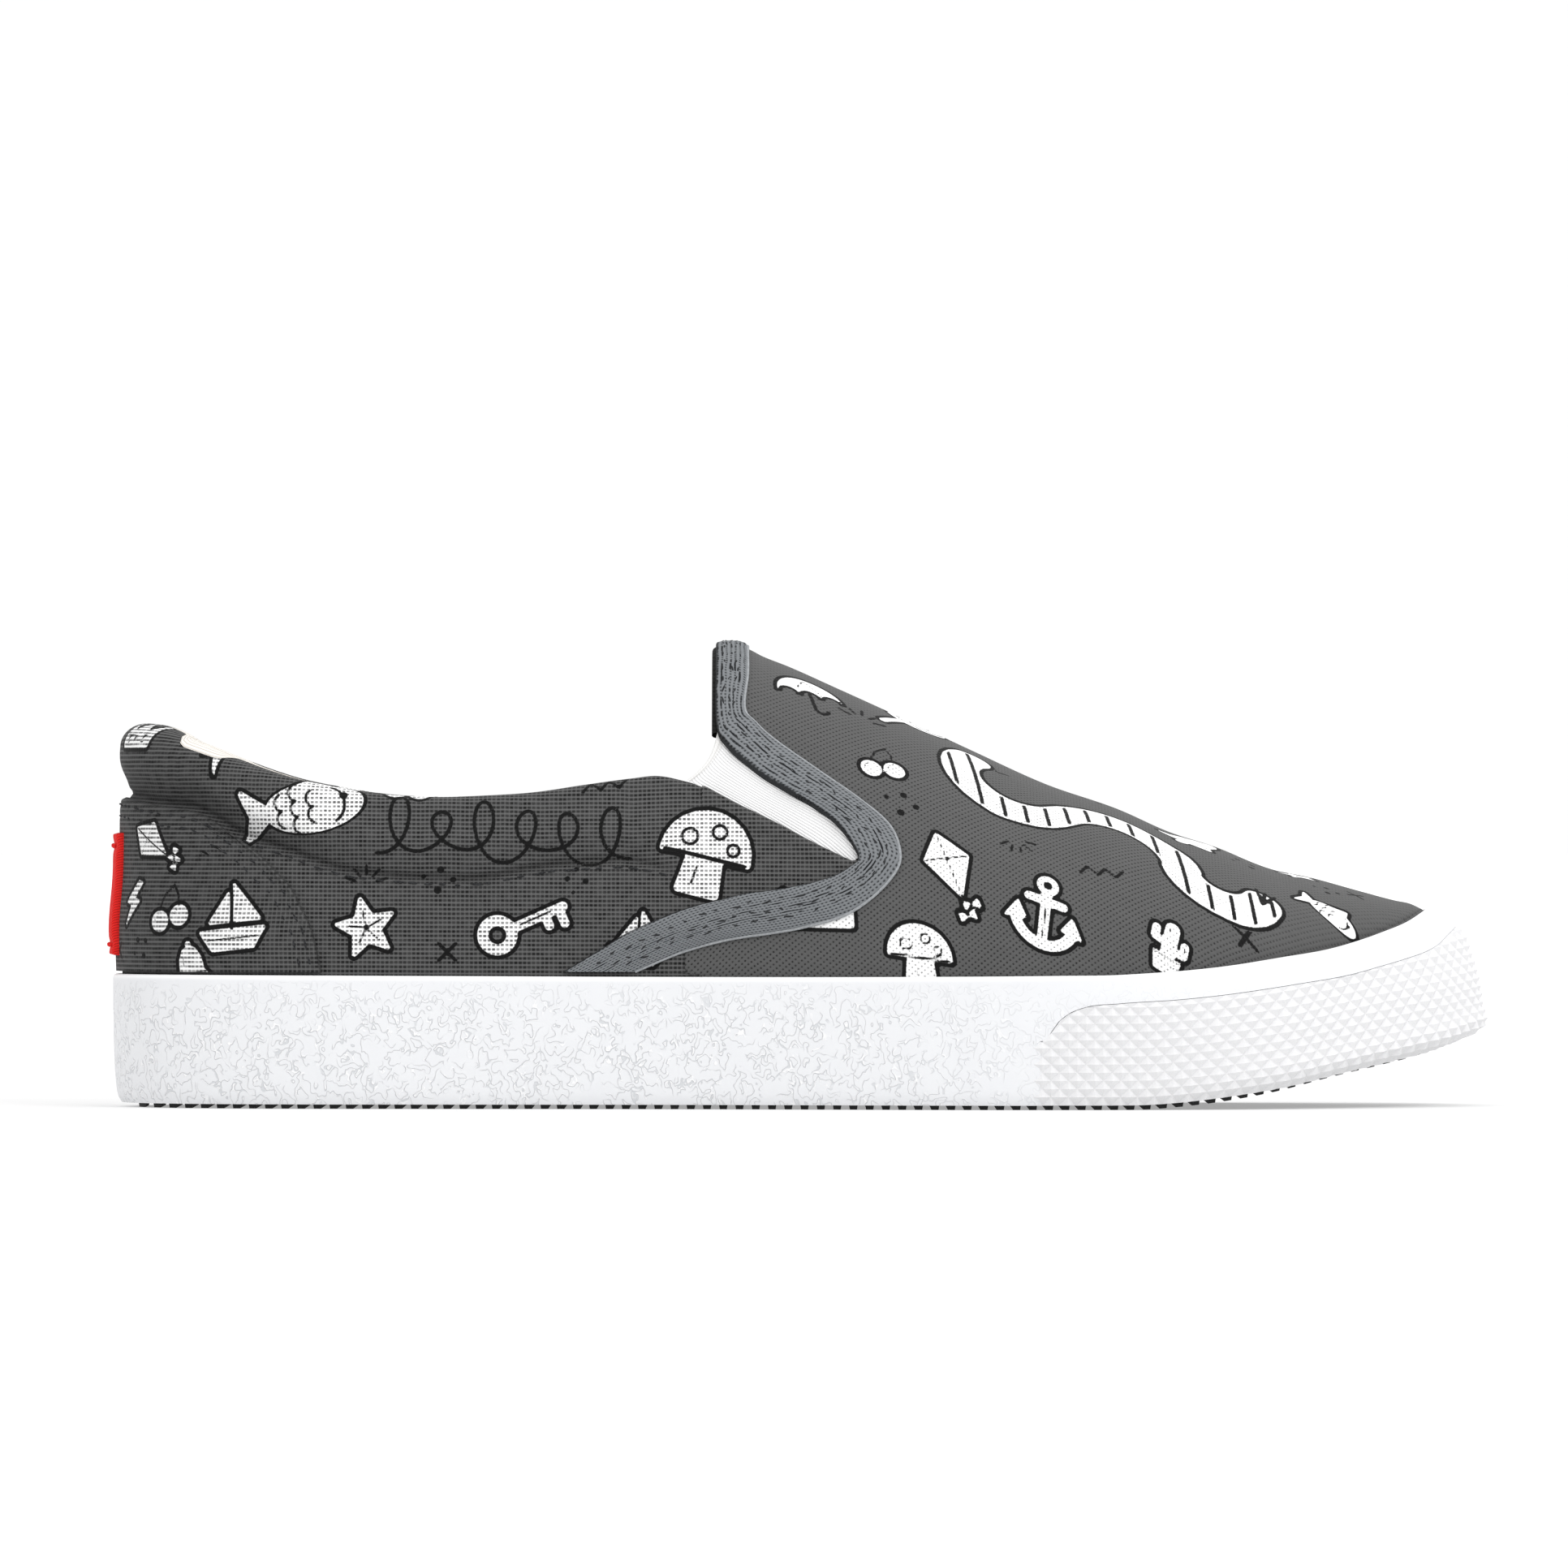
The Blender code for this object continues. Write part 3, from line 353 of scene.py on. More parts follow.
class Piece:
    """Grids of points that share their edges, welded into one mesh with its layers of values."""

    def __init__(self, *layers):
        self.names = layers
        self.points, self.faces, self.layers, self.count = [], [], [], 0

    def grid(self, points, layers=(), keep=None, turned=None):
        """Adds a grid of triangles: keep says which points stay, turned which cells split crosswise."""
        m, n = points.shape[:2]
        index = self.count + np.arange(m * n).reshape(m, n)
        a, b, c, d = index[:-1, :-1], index[1:, :-1], index[1:, 1:], index[:-1, 1:]
        whole = np.ones(a.shape, bool)
        if keep is not None:
            whole = keep[:-1, :-1] & keep[1:, :-1] & keep[1:, 1:] & keep[:-1, 1:]
        turned = np.zeros(a.shape, bool) if turned is None else turned
        a, b, c, d, turned = (each[whole] for each in (a, b, c, d, turned))
        self.faces.append(np.column_stack([a, b, np.where(turned, d, c)]))
        self.faces.append(np.column_stack([np.where(turned, b, a), c, d]))
        self.points.append(points.reshape(-1, 3))
        rows = [np.broadcast_to(layer, (m, n)).reshape(-1) for layer in layers]
        rows += [np.zeros(m * n)] * (len(self.names) - len(rows))
        self.layers.append(np.array(rows).reshape(len(self.names), m * n))
        self.count += m * n

    def slab(self, top, back, layers=()):
        """Closes the space between two grids of one size."""
        self.grid(top, layers)
        self.grid(back, layers)
        for edge in (np.s_[0], np.s_[-1], np.s_[:, 0], np.s_[:, -1]):
            strip = np.stack([top[edge], back[edge]], axis=1)
            rows = [np.broadcast_to(layer, top.shape[:2])[edge][:, None] for layer in layers]
            self.grid(strip, rows)

    def build(self, name, material, slot, replaces=(), inward=False, crease=40):
        """Welds, turns the faces outward (or inward), puts the piece under the body:root empty and hides the
        parts it replaces.
        """
        points, faces = np.concatenate(self.points), np.concatenate(self.faces)
        layers = np.concatenate(self.layers, axis=1)
        _, first, index = np.unique(np.round(points, 3), axis=0, return_index=True, return_inverse=True)
        faces = index.reshape(-1)[faces]
        faces = faces[(faces != np.roll(faces, 1, axis=1)).all(axis=1)]
        used, faces = np.unique(faces, return_inverse=True)
        first, faces = first[used], faces.reshape(-1, 3)
        mesh = bpy.data.meshes.new(name)
        places = (points[first] - [LENGTH / 2, 0, 0]) * MM
        mesh.vertices.add(len(places))
        mesh.vertices.foreach_set("co", places.astype(np.float32).ravel())
        mesh.loops.add(faces.size)
        mesh.loops.foreach_set("vertex_index", faces.astype(np.int32).ravel())
        mesh.polygons.add(len(faces))
        mesh.polygons.foreach_set("loop_start", np.arange(0, faces.size, 3, dtype=np.int32))
        mesh.update(calc_edges=True)
        work = bmesh.new()
        work.from_mesh(mesh)
        bmesh.ops.recalc_face_normals(work, faces=work.faces)
        work.to_mesh(mesh)
        work.free()
        centres, normals = np.empty(len(faces) * 3), np.empty(len(faces) * 3)
        mesh.polygons.foreach_get("center", centres)
        mesh.polygons.foreach_get("normal", normals)
        centres = centres.reshape(-1, 3) - places.mean(axis=0)
        if ((centres * normals.reshape(-1, 3)).sum() < 0) != inward:
            mesh.flip_normals()
        for layer, values in zip(self.names, layers):
            values = values[first].astype(np.float32)
            mesh.attributes.new(layer, "FLOAT", "POINT").data.foreach_set("value", values)
        mesh.shade_smooth()
        mesh.set_sharp_from_angle(angle=np.radians(crease))
        mesh.materials.append(material)
        piece = put(name, mesh)
        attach(piece, "root")
        if replaces:
            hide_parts(*replaces)
        return piece


def round_both(rows_of, step, start=-HEEL_ARC, end=TOE):
    """rows_of(column, side) along the outer side from heel to toe, then back along the inner side."""
    out, back = columns(-1, start, end, step), columns(1, start, end, step)
    return np.concatenate([rows_of(out[:, None], -1), rows_of(back[::-1, None], 1)])


def add_rear(made, rows_of, cloth_of, step, end):
    """Adds both sides behind column end: rows_of gives the points and cloth_of their layers."""
    points, layers = round_both(rows_of, step, end=end), round_both(cloth_of, step, end=end)
    rear = len(columns(-1, -HEEL_ARC, end, step))
    for part in (np.s_[:rear], np.s_[rear:]):
        made.grid(points[part], np.moveaxis(layers[part], -1, 0))


def recess(x, share):
    """How far the foxing's face is set back under the toe bumper."""
    return (BUMPER + GAP) * ease(x, 194.8, 195.8) * (share < through(BUMPER_TOP, x / LENGTH))


def foxing(material):
    """Rubber wall: the face's section carried round the feather line, with a rounded top edge.

    The rim is a half superellipse between the outer and inner faces, sunk by sqrt(1 - |s|^2.5)."""
    rim = np.linspace(0, np.pi, 9)[None, :]
    under = np.linspace(0, 1, 12)[None, :]
    over = np.linspace(0, 1, 14)[None, :]

    def section(q, side):
        x = at_x(q, side)
        top = through(BUMPER_TOP, x / LENGTH)
        flat = np.concatenate([(top - 0.002) * under, lerp(top + 0.002, RIM_START, over)], axis=1)
        share = [flat, lerp(RIM_START, 1, np.sin(rim)) + 0 * x]
        share.append(lerp(RIM_START, FLOOR / FOXING_HEIGHT, over[:, 1:]) + 0 * x)
        out = [-recess(x, flat), FOXING_WALL * (np.cos(rim) - 1) / 2 + 0 * x, 0 * share[2] - FOXING_WALL]
        wall = ring(q, side, np.concatenate(share, axis=1), np.concatenate(out, axis=1))
        roof = PLATE + GAP
        corners = ((FLOOR, FLOOR_REACH), (roof, FLOOR_REACH), (roof, TREAD_EDGE), (0, TREAD_EDGE))
        corners = [lift(q, side, height, -inset) for height, inset in corners]
        return np.concatenate([wall, *corners, wall[:, :1]], axis=1)

    def worn(q, side):
        """Distance along the wall, height up it and depth below its top, for the pattern in the rubber."""
        x, z = at_x(q, side), section(q, side)[..., 2]
        return np.stack([side * arc_at(q, side) + 0 * z, z - lower_edge(x), upper_edge(x) - z], -1)

    layers = round_both(worn, 1.3)
    made = Piece("along", "up", "below_top")
    made.grid(round_both(section, 1.3), np.moveaxis(layers, -1, 0))
    return made.build("foxing_tape", material, "foxing", ["foxing"])


def toe_bumper(material):
    """Moulded toe strip: diamonds 3.6 mm wide and 3.4 mm high fill it, each a pyramid 0.95 mm high.

    Columns and rows stand half a diamond apart: peaks and valleys take turns like a chessboard's squares."""
    wide, high, peak = 1.8, 1.7, 0.95
    row = np.arange(17)[None, :]
    sheets, turns = [], []
    for side in SIDES:
        arc, x = HALVES[side][:2]
        count = int((arc[-1] - np.interp(BUMPER_REAR, x, arc)) / wide) + 1
        column = np.arange(count, -1, -1)[:, None]
        q = np.interp(arc[-1] - column * wide, arc, x) - HEEL_AXIS
        x = feather(q, side)[0]
        tall = upper_edge(x) - lower_edge(x)
        top = (through(BUMPER_TOP, x / LENGTH) - 0.002) * tall
        z = np.where(row < 16, np.minimum(row * high + 0.1, top), top)
        flush = (z >= top) | (column == count)
        out = np.where(flush, 0.0, peak * ((column + row) % 2 == 0) - 0.3) - 0.3 * (row == 0)
        front = ring(q, side, z / tall, out)
        back = ring(q, side, z[:, [-1, 0]] / tall, -BUMPER + 0 * z[:, :2])
        sheets.append(np.concatenate([front, back, front[:, :1]], axis=1)[::-side])
        turns.append(((column + np.arange(19)[None, :]) % 2 == 0)[::-side])
    made = Piece()
    rows, turned = np.concatenate(sheets), np.concatenate(turns)
    made.grid(rows, turned=turned[:-1, :])
    for end in (rows[0], rows[-1]):
        made.grid(np.stack([end[:17], lerp(end[18], end[17], np.linspace(0, 1, 17)[:, None])], axis=1))
    return made.build("toe_strip", material, "toe_bumper", ["toe_bumper"], crease=20)


def outsole(material):
    """Black tread: a plate with lugs along it and 16 ribs across, each a flat-topped bar."""
    q = np.unique(np.concatenate([columns(1, -HEEL_ARC, TOE, 0.4), columns(-1, -HEEL_ARC, TOE, 0.4)]))
    outer, inner = (ring(q, side, 0, -TREAD_EDGE - GAP) for side in SIDES)
    first, last = inner[[0, -1], 0]
    x = (np.arange(-60, 60)[:, None] * LUG_PITCH + np.array([0, 0.15, 0.9, 1.65, 1.8])).ravel() + LENGTH / 2
    drop = np.tile([0, 1, 1, 1, 0], 120)
    kept = (x > first + 0.4) & (x < last - 0.4)
    ends = np.array([0, 0.02, 0.08, 0.18])
    x = np.concatenate([first + ends, x[kept], last - ends[::-1]])[:, None]
    drop = np.concatenate([0 * ends, drop[kept], 0 * ends])[:, None]
    t = (np.arange(17)[:, None] + np.array([0, 0.12, 0.78, 0.9])).ravel()[:-3] / 16
    rib = np.tile([0.12, 1, 1, 0.12], 17)[:-3]
    rib[[0, -1]] = 1
    y = lerp(np.interp(x, outer[:, 0], outer[:, 1]), np.interp(x, inner[:, 0], inner[:, 1]), t)
    z = np.interp(x, inner[:, 0], inner[:, 2]) + 0 * y
    made = Piece()
    made.slab(np.stack([x + 0 * y, y, z - LUG * drop * rib], -1), np.stack([x + 0 * y, y, z + PLATE], -1))
    return made.build("tread", material, "outsole", ["outsole"], crease=30)


def insole(material):
    """Footbed: a pad whose rim turns up within 5 mm of its edge, with a rounded border."""
    out = -(FOXING_WALL + GAP + WALL + GAP)
    q = columns(-1, -HEEL_ARC, TOE, 2.0)
    border = ((0, 0.4), (1, 0), (3.2, 0.1), (INSOLE, 0.9))  # height, inset

    def rim(side):
        return [lift(q, side, FLOOR + GAP + height, out - inset)[:, None] for height, inset in border]

    outer, inner = rim(-1), rim(1)
    t = np.linspace(0, 1, 60)[1:-1]
    width = np.linalg.norm(outer[-1] - inner[-1], axis=2)
    top = lerp(outer[-1], inner[-1], t[:, None])
    top[..., 2] += 0.9 * bell(np.minimum(t, 1 - t) * width, 5) * ease(width, 4, 20) - 0.3
    made = Piece()
    made.grid(np.concatenate([*outer, top, *inner[::-1], outer[0]], axis=1))
    piece = made.build("footbed", material, "insole", ["insole"])
    return piece


def binding_path():
    """Binding's edges as columns and angles, numbered from the foxing up to the ridge and a step beyond."""
    rows = []
    for x, z, u, v in np.array(BINDING_EDGES) * [LENGTH, INSTEP, LENGTH, INSTEP]:
        near, far = x - HEEL_AXIS, u - HEEL_AXIS
        rows.append([near, angle_at(near, -1, z, -GAP), far, angle_at(far, -1, v, -GAP)])
    start, end = BINDING_THROAT - HEEL_AXIS, BINDING_FRONT - HEEL_AXIS
    rows += [[start, each, end, each] for each in np.radians([66, 78, 90])]
    rows.append([start, np.radians(102), end, np.radians(102)])
    return np.column_stack([np.arange(len(rows)), np.array(rows)])


BINDING_PATH = binding_path()
BINDING_TOP = len(BINDING_PATH) - 2.0


def binding_at(at, t):
    """Column and angle at number `at` of the binding's path, a share t from its inner to its outer edge."""
    near, near_angle, far, far_angle = (through(BINDING_PATH, at, i) for i in (1, 2, 3, 4))
    return lerp(near, far, t), np.minimum(lerp(near_angle, far_angle, t), np.pi / 2)


def binding_line(t):
    """Side view of the line a share t across the binding: x and height."""
    q, angle = binding_at(np.linspace(0, BINDING_TOP, 200), t)
    return at_x(q, -1), skin(q, -1, angle, 0)[:, 2]


def inside_outline(x, z, outline):
    """True where a point lies in the outline: an odd number of its edges cross the ray to +x."""
    odd = np.zeros(np.broadcast(x, z).shape, bool)
    for (x0, z0), (x1, z1) in zip(outline, np.roll(outline, -1, axis=0)):
        if z0 == z1:
            continue
        odd ^= ((z0 > z) != (z1 > z)) & (x < (x1 - x0) * (z - z0) / (z1 - z0) + x0)
    return odd


def vamp_outline(t):
    """Side view of everything ahead of the line a share t across the binding."""
    line = np.column_stack(binding_line(t))
    return np.vstack([[line[0, 0] - 8, 0], line, [line[-1, 0], 140], [400, 140], [400, 0]])


VAMP_LIMIT = vamp_outline(0.3)
QUARTER_LIMIT = vamp_outline(0.75)


def gore_line(count):
    """Gore's lower and upper edges in side view, as x and height, at evenly shared stations."""
    rows = np.column_stack([np.arange(len(GORE_EDGES)), np.array(GORE_EDGES)])
    at = np.linspace(0, len(rows) - 1, count)
    scales = (LENGTH, INSTEP, LENGTH, INSTEP)
    return np.stack([through(rows, at, i + 1) * scale for i, scale in enumerate(scales)], axis=-1)


GORE_ROWS = gore_line(60)

# soft folds of the canvas, in side view: from x and height, to x and height, width, rise in mm
FOLDS = (
    (168, 34, 186, 62, 7.0, -0.55), (184, 33, 204, 58, 8.0, 0.45), (206, 34, 222, 52, 7.0, -0.35),
    (150, 78, 172, 72, 5.0, -0.3), (62, 32, 76, 46, 8.0, -0.35), (84, 47, 104, 40, 6.0, 0.35),
    (110, 52, 122, 60, 4.0, -0.35), (56, 56, 110, 58, 5.0, 0.25), (238, 40, 246, 49, 6.0, -0.3),
)


def fold(x, z, side):
    """Height of the canvas over its plain shape: a bell across each fold's line, plus broad slow waves."""
    high = 0.16 * np.sin(x / 9.1 + 0.7 * side) * np.sin(z / 7.3 + x / 23 + side)
    for x0, z0, x1, z1, width, rise in FOLDS:
        dx, dz = x1 - x0, z1 - z0
        t = np.clip(((x - x0) * dx + (z - z0) * dz) / (dx * dx + dz * dz), 0, 1)
        gap = np.hypot(x - x0 - t * dx, z - z0 - t * dz)
        high = high + rise * (1 + 0.25 * side) * bell(gap, width / 2)
    return high


def seam_trough(x, z):
    """Groove under the collar's roll: a narrow bell on the seam and a broad one above, deep at the heel."""
    above = z - collar(x, 2)
    broad = (0.35 + 0.95 * (1 - ease(x, 26, 60))) * bell(above - 1.6, 3.4)
    return -(0.75 * bell(above, 0.8) + broad) * (1 - ease(x, 112, 124))


def changeover(x):
    """Share of the collar's roll where canvas meets lining, further out ahead of the heel's crest."""
    return 0.62 - 0.37 * ease(x, 9, 13) * (1 - ease(x, 20, 28))


def rise_of(q, side):
    """Top of the collar's straight wall, the pad's thickness and the roll's radius there."""
    bx, by, ax, ay = arch(q, side, 0)[:4]
    pad = collar(bx, 3)
    crest = bx + (ax - bx) / np.hypot(ax - bx, ay - by) * pad / 2
    radius = np.minimum(pad / 2, COLLAR_RADIUS)
    return collar(crest, 1) - radius, pad, radius


def wall_rows(q, side, inset):
    """The wall inside the foxing, from the sole up to the feather line."""
    x = at_x(q, side)
    low = (FLOOR + GAP) / (upper_edge(x) - lower_edge(x))
    share = np.where(np.arange(4) == 0, low, [0, 0.62, 0.85, 0.93])
    return ring(q, side, share, -FEATHER - inset)


def collar_roll(q, side, t, sink):
    """Half a circle from the collar's outer wall (t = 0) over to its inner wall (t = 1), sunk by sink mm."""
    end, pad, radius = rise_of(q, side)
    start, stop = at_height(q, side, end, 0), at_height(q, side, end, pad)
    angle = np.pi * t
    across = (start - stop) / 2 * np.cos(angle)[..., None]
    up = np.stack([0 * end, 0 * end, radius], -1)
    return (start + stop) / 2 + (across + up * np.sin(angle)[..., None]) * (1 - sink / radius)[..., None]


def quarter_top(x):
    """Height where the quarter's canvas ends ahead of the collar: the gore's lower edge."""
    return np.interp(x, GORE_ROWS[:, 0], GORE_ROWS[:, 1])


def quarters():
    """Canvas from the foxing up to the collar's roll, round the heel, with folds, the seam's groove and
    painted shade along the groove.
    """
    start = THROAT - HEEL_AXIS - 1.8
    up = np.linspace(0, 1, 84)[None, :]
    over = np.append(np.linspace(0, 1, 18)[1:], 1)
    made = Piece("cloth_u", "cloth_v", "ahead", "painted_shade")

    def body_rows(q, side):
        x = at_x(q, side)
        low, end = upper_edge(x), rise_of(q, side)[0]
        z = lerp(low, end, up)
        folds = fold(x, z, side) * ease(z, low, low + 8) * (1 - ease(z, end - 8, end))
        rows = at_height(q, side, z, -folds - seam_trough(x, z))
        sink = 0.8 * (np.arange(over.size) == over.size - 1)
        roll = collar_roll(q, side, over * changeover(x), sink)
        return np.concatenate([wall_rows(q, side, 0), rows, roll], axis=1)

    def cloth(q, side):
        points = body_rows(q, side)
        v = run(points)
        # painted shade: half the seam groove's depth, which darkens the canvas there
        painted_shade = -seam_trough(at_x(q, side), points[..., 2]) / 2
        return np.stack(np.broadcast_arrays(side * arc_at(q, side), v - v[:, 4:5], 0, painted_shade), -1)

    add_rear(made, body_rows, cloth, 0.58, start)
    tail = columns(-1, start, 168 - HEEL_AXIS, 0.6)[:, None]
    for side in SIDES:
        x = at_x(tail, side)
        end, _, radius = rise_of(tail, side)
        low, below_gore = upper_edge(x), quarter_top(x)
        top = lerp(np.minimum(end + radius, below_gore + 9), below_gore + 0.5, ease(x, 124.5, 127.0))
        z = lerp(low, top, up)
        folds = fold(x, z, side) * ease(z, low, low + 8) + seam_trough(x, z) * (1 - ease(x, 120, 124))
        rows = at_height(tail, side, z, -folds - 0.5 * ease(z, top - 5, top - 1))
        hem = [at_height(tail, side, top + up_by, inset) for up_by, inset in ((0.25, -0.1), (-0.1, 0.9))]
        points = np.concatenate([wall_rows(tail, side, 0), rows, rows[:, -1:], *hem], axis=1)
        v = run(points)
        keep = ~inside_outline(x, points[..., 2], QUARTER_LIMIT)
        # the last layer is painted shade: half the seam groove's depth, which darkens the canvas there
        layers = [side * arc_at(tail, side), v - v[:, 4:5], 0, -seam_trough(x, points[..., 2]) / 2]
        made.grid(points, layers, keep)
    return made


def vamp():
    """Canvas over the forefoot: columns of the upper's arch from side to side, trimmed at the binding.

    cloth_u runs toward the toe and cloth_v over the shoe, from the ridge down each side by arc length."""
    made = Piece("cloth_u", "cloth_v", "ahead", "painted_shade")
    q = columns(-1, 88 - HEEL_AXIS, TOE, 0.62)[:, None]
    angle = np.linspace(0, np.pi / 2, 132)[None, :]
    for side in SIDES:
        x, z = at_x(q, side), skin(q, side, angle, 0)[..., 2]
        rise = fold(x, z, side) * np.cos(angle) ** 2 + fold(x, z, -1) * 0.4 * np.sin(angle) ** 2
        rise = rise * ease(z, upper_edge(x), upper_edge(x) + 6) * (1 - ease(x, 255, 272))
        points = skin(q, side, angle, -rise)
        v = run(points)
        v = np.pad(side * (v[:, -1:] - v), ((0, 0), (4, 0)), "edge")
        points = np.concatenate([wall_rows(q, side, 0), points], axis=1)
        keep = inside_outline(x, points[..., 2], VAMP_LIMIT)
        keep[:, -1] = x[:, 0] > BINDING_THROAT + 0.6
        keep &= (x > 126.0) | (points[..., 2] < 75)
        made.grid(points, [x, v, 1], keep)
    return made


def lining(material):
    """Inner skins: behind the collar from the roll down, and under the vamp. Their ribs are in the cloth."""
    made = Piece("cloth_u", "cloth_v")
    start = THROAT - HEEL_AXIS
    up = np.linspace(1, 0, 26)[None, :]
    over = np.append(0, np.linspace(0, 1, 16)[:-1])

    def rows_of(q, side):
        x = at_x(q, side)
        end, pad, _ = rise_of(q, side)
        z = lerp(upper_edge(x), end, up)
        seam = np.minimum(collar(x, 2), end - 4)
        rows = at_height(q, side, z, WALL + (pad - WALL) * ease(z, seam - 8, seam + 4), 0)
        roll = collar_roll(q, side, lerp(changeover(x) + 0.01, 1, over), 0.8 * (np.arange(over.size) == 0))
        return np.concatenate([roll, rows, wall_rows(q, side, WALL)[:, ::-1]], axis=1)

    def cloth(q, side):
        return np.stack(np.broadcast_arrays(side * arc_at(q, side), run(rows_of(q, side))), -1)

    add_rear(made, rows_of, cloth, 1.5, start)
    q = columns(-1, start, TOE, 1.0)[:, None]
    angle = np.linspace(0, np.pi / 2, 110)[None, :]
    for side in SIDES:
        points = np.concatenate([wall_rows(q, side, WALL), skin(q, side, angle, WALL, 0)], axis=1)
        keep = ~inside_outline(at_x(q, side), points[..., 2], notch_outline())
        keep[:, :4] = True
        made.grid(points, [at_x(q, side), run(points)], keep)
    return made.build("lining", material, "upper", ["upper"], inward=True)


def notch_outline():
    """Side view of the opening that the gore fills, widened under the binding and open to the collar."""
    lower = GORE_ROWS[:, :2] + [0.0, -0.6]
    top = GORE_ROWS[:, 2:] + [0.8, 0.6]
    return np.vstack([lower, top[::-1], [126.4, 79.6], [110, 90], [112, 76]])


def tube(path, radius, around):
    """Points of a round cord along a path: circles of the radius square to the path."""
    forward = unit(np.gradient(path, axis=0))
    side = unit(np.cross(forward, [0, 0, 1.0]))
    over = np.cross(side, forward)
    angle = np.linspace(0, 2 * np.pi, around + 1)[:, None]
    return path[:, None] + radius * (side[:, None] * np.cos(angle) + over[:, None] * np.sin(angle))


def throat_edge(material):
    """Black facing turned over the throat's rear edge: a round hem 2 mm thick from gore to gore."""
    q = np.array([[THROAT + 1.0 - HEEL_AXIS]])
    angle = lerp(angle_at(q, -1, 78.2, 1.0), np.pi / 2, np.linspace(0, 1, 90)[None, :])
    outer, inner = (skin(q, side, angle, 1.0, 0)[0] for side in SIDES)
    path = np.concatenate([outer, inner[-2::-1]])
    back = np.array([-1.0, 0, 0])
    outward = unit(np.cross(unit(np.gradient(path, axis=0)), back))
    turn = np.linspace(-np.pi / 2 - 0.3, np.pi / 2 + 0.3, 15)[:, None]
    rows = path[:, None] + back * np.cos(turn) + outward[:, None] * 1.05 * np.sin(turn)
    made = Piece()
    made.grid(rows)
    for edge in (rows[:, 0], rows[:, -1]):
        made.grid(np.stack([edge, edge + [5.0, 0, 0]], axis=1))
    return made.build("throat_hem", material, "upper", ["upper"])


def binding(material):
    """Woven tape along the throat and down each side: sqrt(1 - |2t - 1|^6) high, its edges tucked in."""
    made = Piece("along", "across", "inner")
    t = np.sin(np.linspace(-1, 1, 25) * np.pi / 2)[None, :] / 2 + 0.5
    q, angle = binding_at(np.linspace(0, BINDING_TOP, 330)[:, None], t)
    tuck = 0.7 * (abs(t - 0.5) > 0.499)
    for side in SIDES:
        plain = skin(q, side, angle, -GAP, 0.0)
        along = run(plain[None, :, 12])[0][:, None]
        width = np.linalg.norm(plain[:, -1] - plain[:, 0], axis=-1)[:, None]
        stitch = 0.14 * (bell((t - 0.14) * width, 0.5) + bell((t - 0.86) * width, 0.5))
        rows = skin(q, side, angle, tuck + stitch - GAP - BINDING * np.sqrt(1 - abs(2 * t - 1) ** 6), 0.0)
        made.grid(rows, [side * (along[-1] - along), (t - 0.5) * width, t * width])
    return made.build("throat_tape", material, "throat_binding", ["throat_binding"])


def gores(material):
    """Elastic at each side: ribs along it, and a hem band 1.3 mm wide at its open end."""
    for name, side, node in (("elastic_outer", -1, "gore_lateral"), ("elastic_inner", 1, "gore_medial")):
        edges = gore_line(90)
        t = np.linspace(0, 1, 150)[None, :]
        x = lerp(edges[:, :1], edges[:, 2:3], t)
        z = lerp(edges[:, 1:2], edges[:, 3:], t)
        wide = np.hypot(edges[:, 2] - edges[:, 0], edges[:, 3] - edges[:, 1])[:, None]
        down = run((edges[None, :, :2] + edges[None, :, 2:]) / 2)[0][:, None]
        bow = 1.6 * np.sin(np.pi * t) * np.exp(-down / 4)
        x, z = x + bow * 0.8, z - bow * 0.5
        hem = 1 - ease(down, 1.3, 1.6)
        across = (t - 0.5) * wide
        ribs = 0.13 * abs(np.cos(np.pi * across / GORE_RIB)) * (1 - hem) + 0.1 * np.sin(down / 2.1 + 3 * t)
        ribs = ribs + 0.3 * hem * (1 - ease(abs(down - 0.65), 0.45, 0.65))
        front, back = (at_height(x - HEEL_AXIS, side, z, inset, 0) for inset in (0.55 - ribs, 0.4 + GORE))
        made = Piece("along", "across")
        made.slab(front, back, [down, across])
        made.build(name, material, node, [node])


def patch_lines(count_up, across):
    """Columns and heights over the heel patch: across is 0 at the heel's middle and 1 on its front edge."""
    front = [(height * INSTEP, x * LENGTH - HEEL_AXIS) for height, x in PATCH_FRONT]
    low = upper_edge(0) + 2 * GAP
    up = np.linspace(0, 1, count_up)[:, None]
    q = -HEEL_ARC + across * (HEEL_ARC + 0 * up)
    for _ in range(12):
        z = low + up * (collar(at_x(q, -1), 2) - PATCH_DROP - low)
        q = -HEEL_ARC + across * (HEEL_ARC + through(front, z))
    return q, z


def patch_height(edge_gap, top_gap):
    """Thickness of the patch: rounded over its last 0.9 mm, with a raised cord along the front edge."""
    near = np.clip(np.minimum(edge_gap, top_gap) / 0.9, 0, 1)
    high = PATCH * np.sqrt(1 - (1 - near) ** 2)
    return high + 0.28 * bell(edge_gap - 0.75, 0.42)


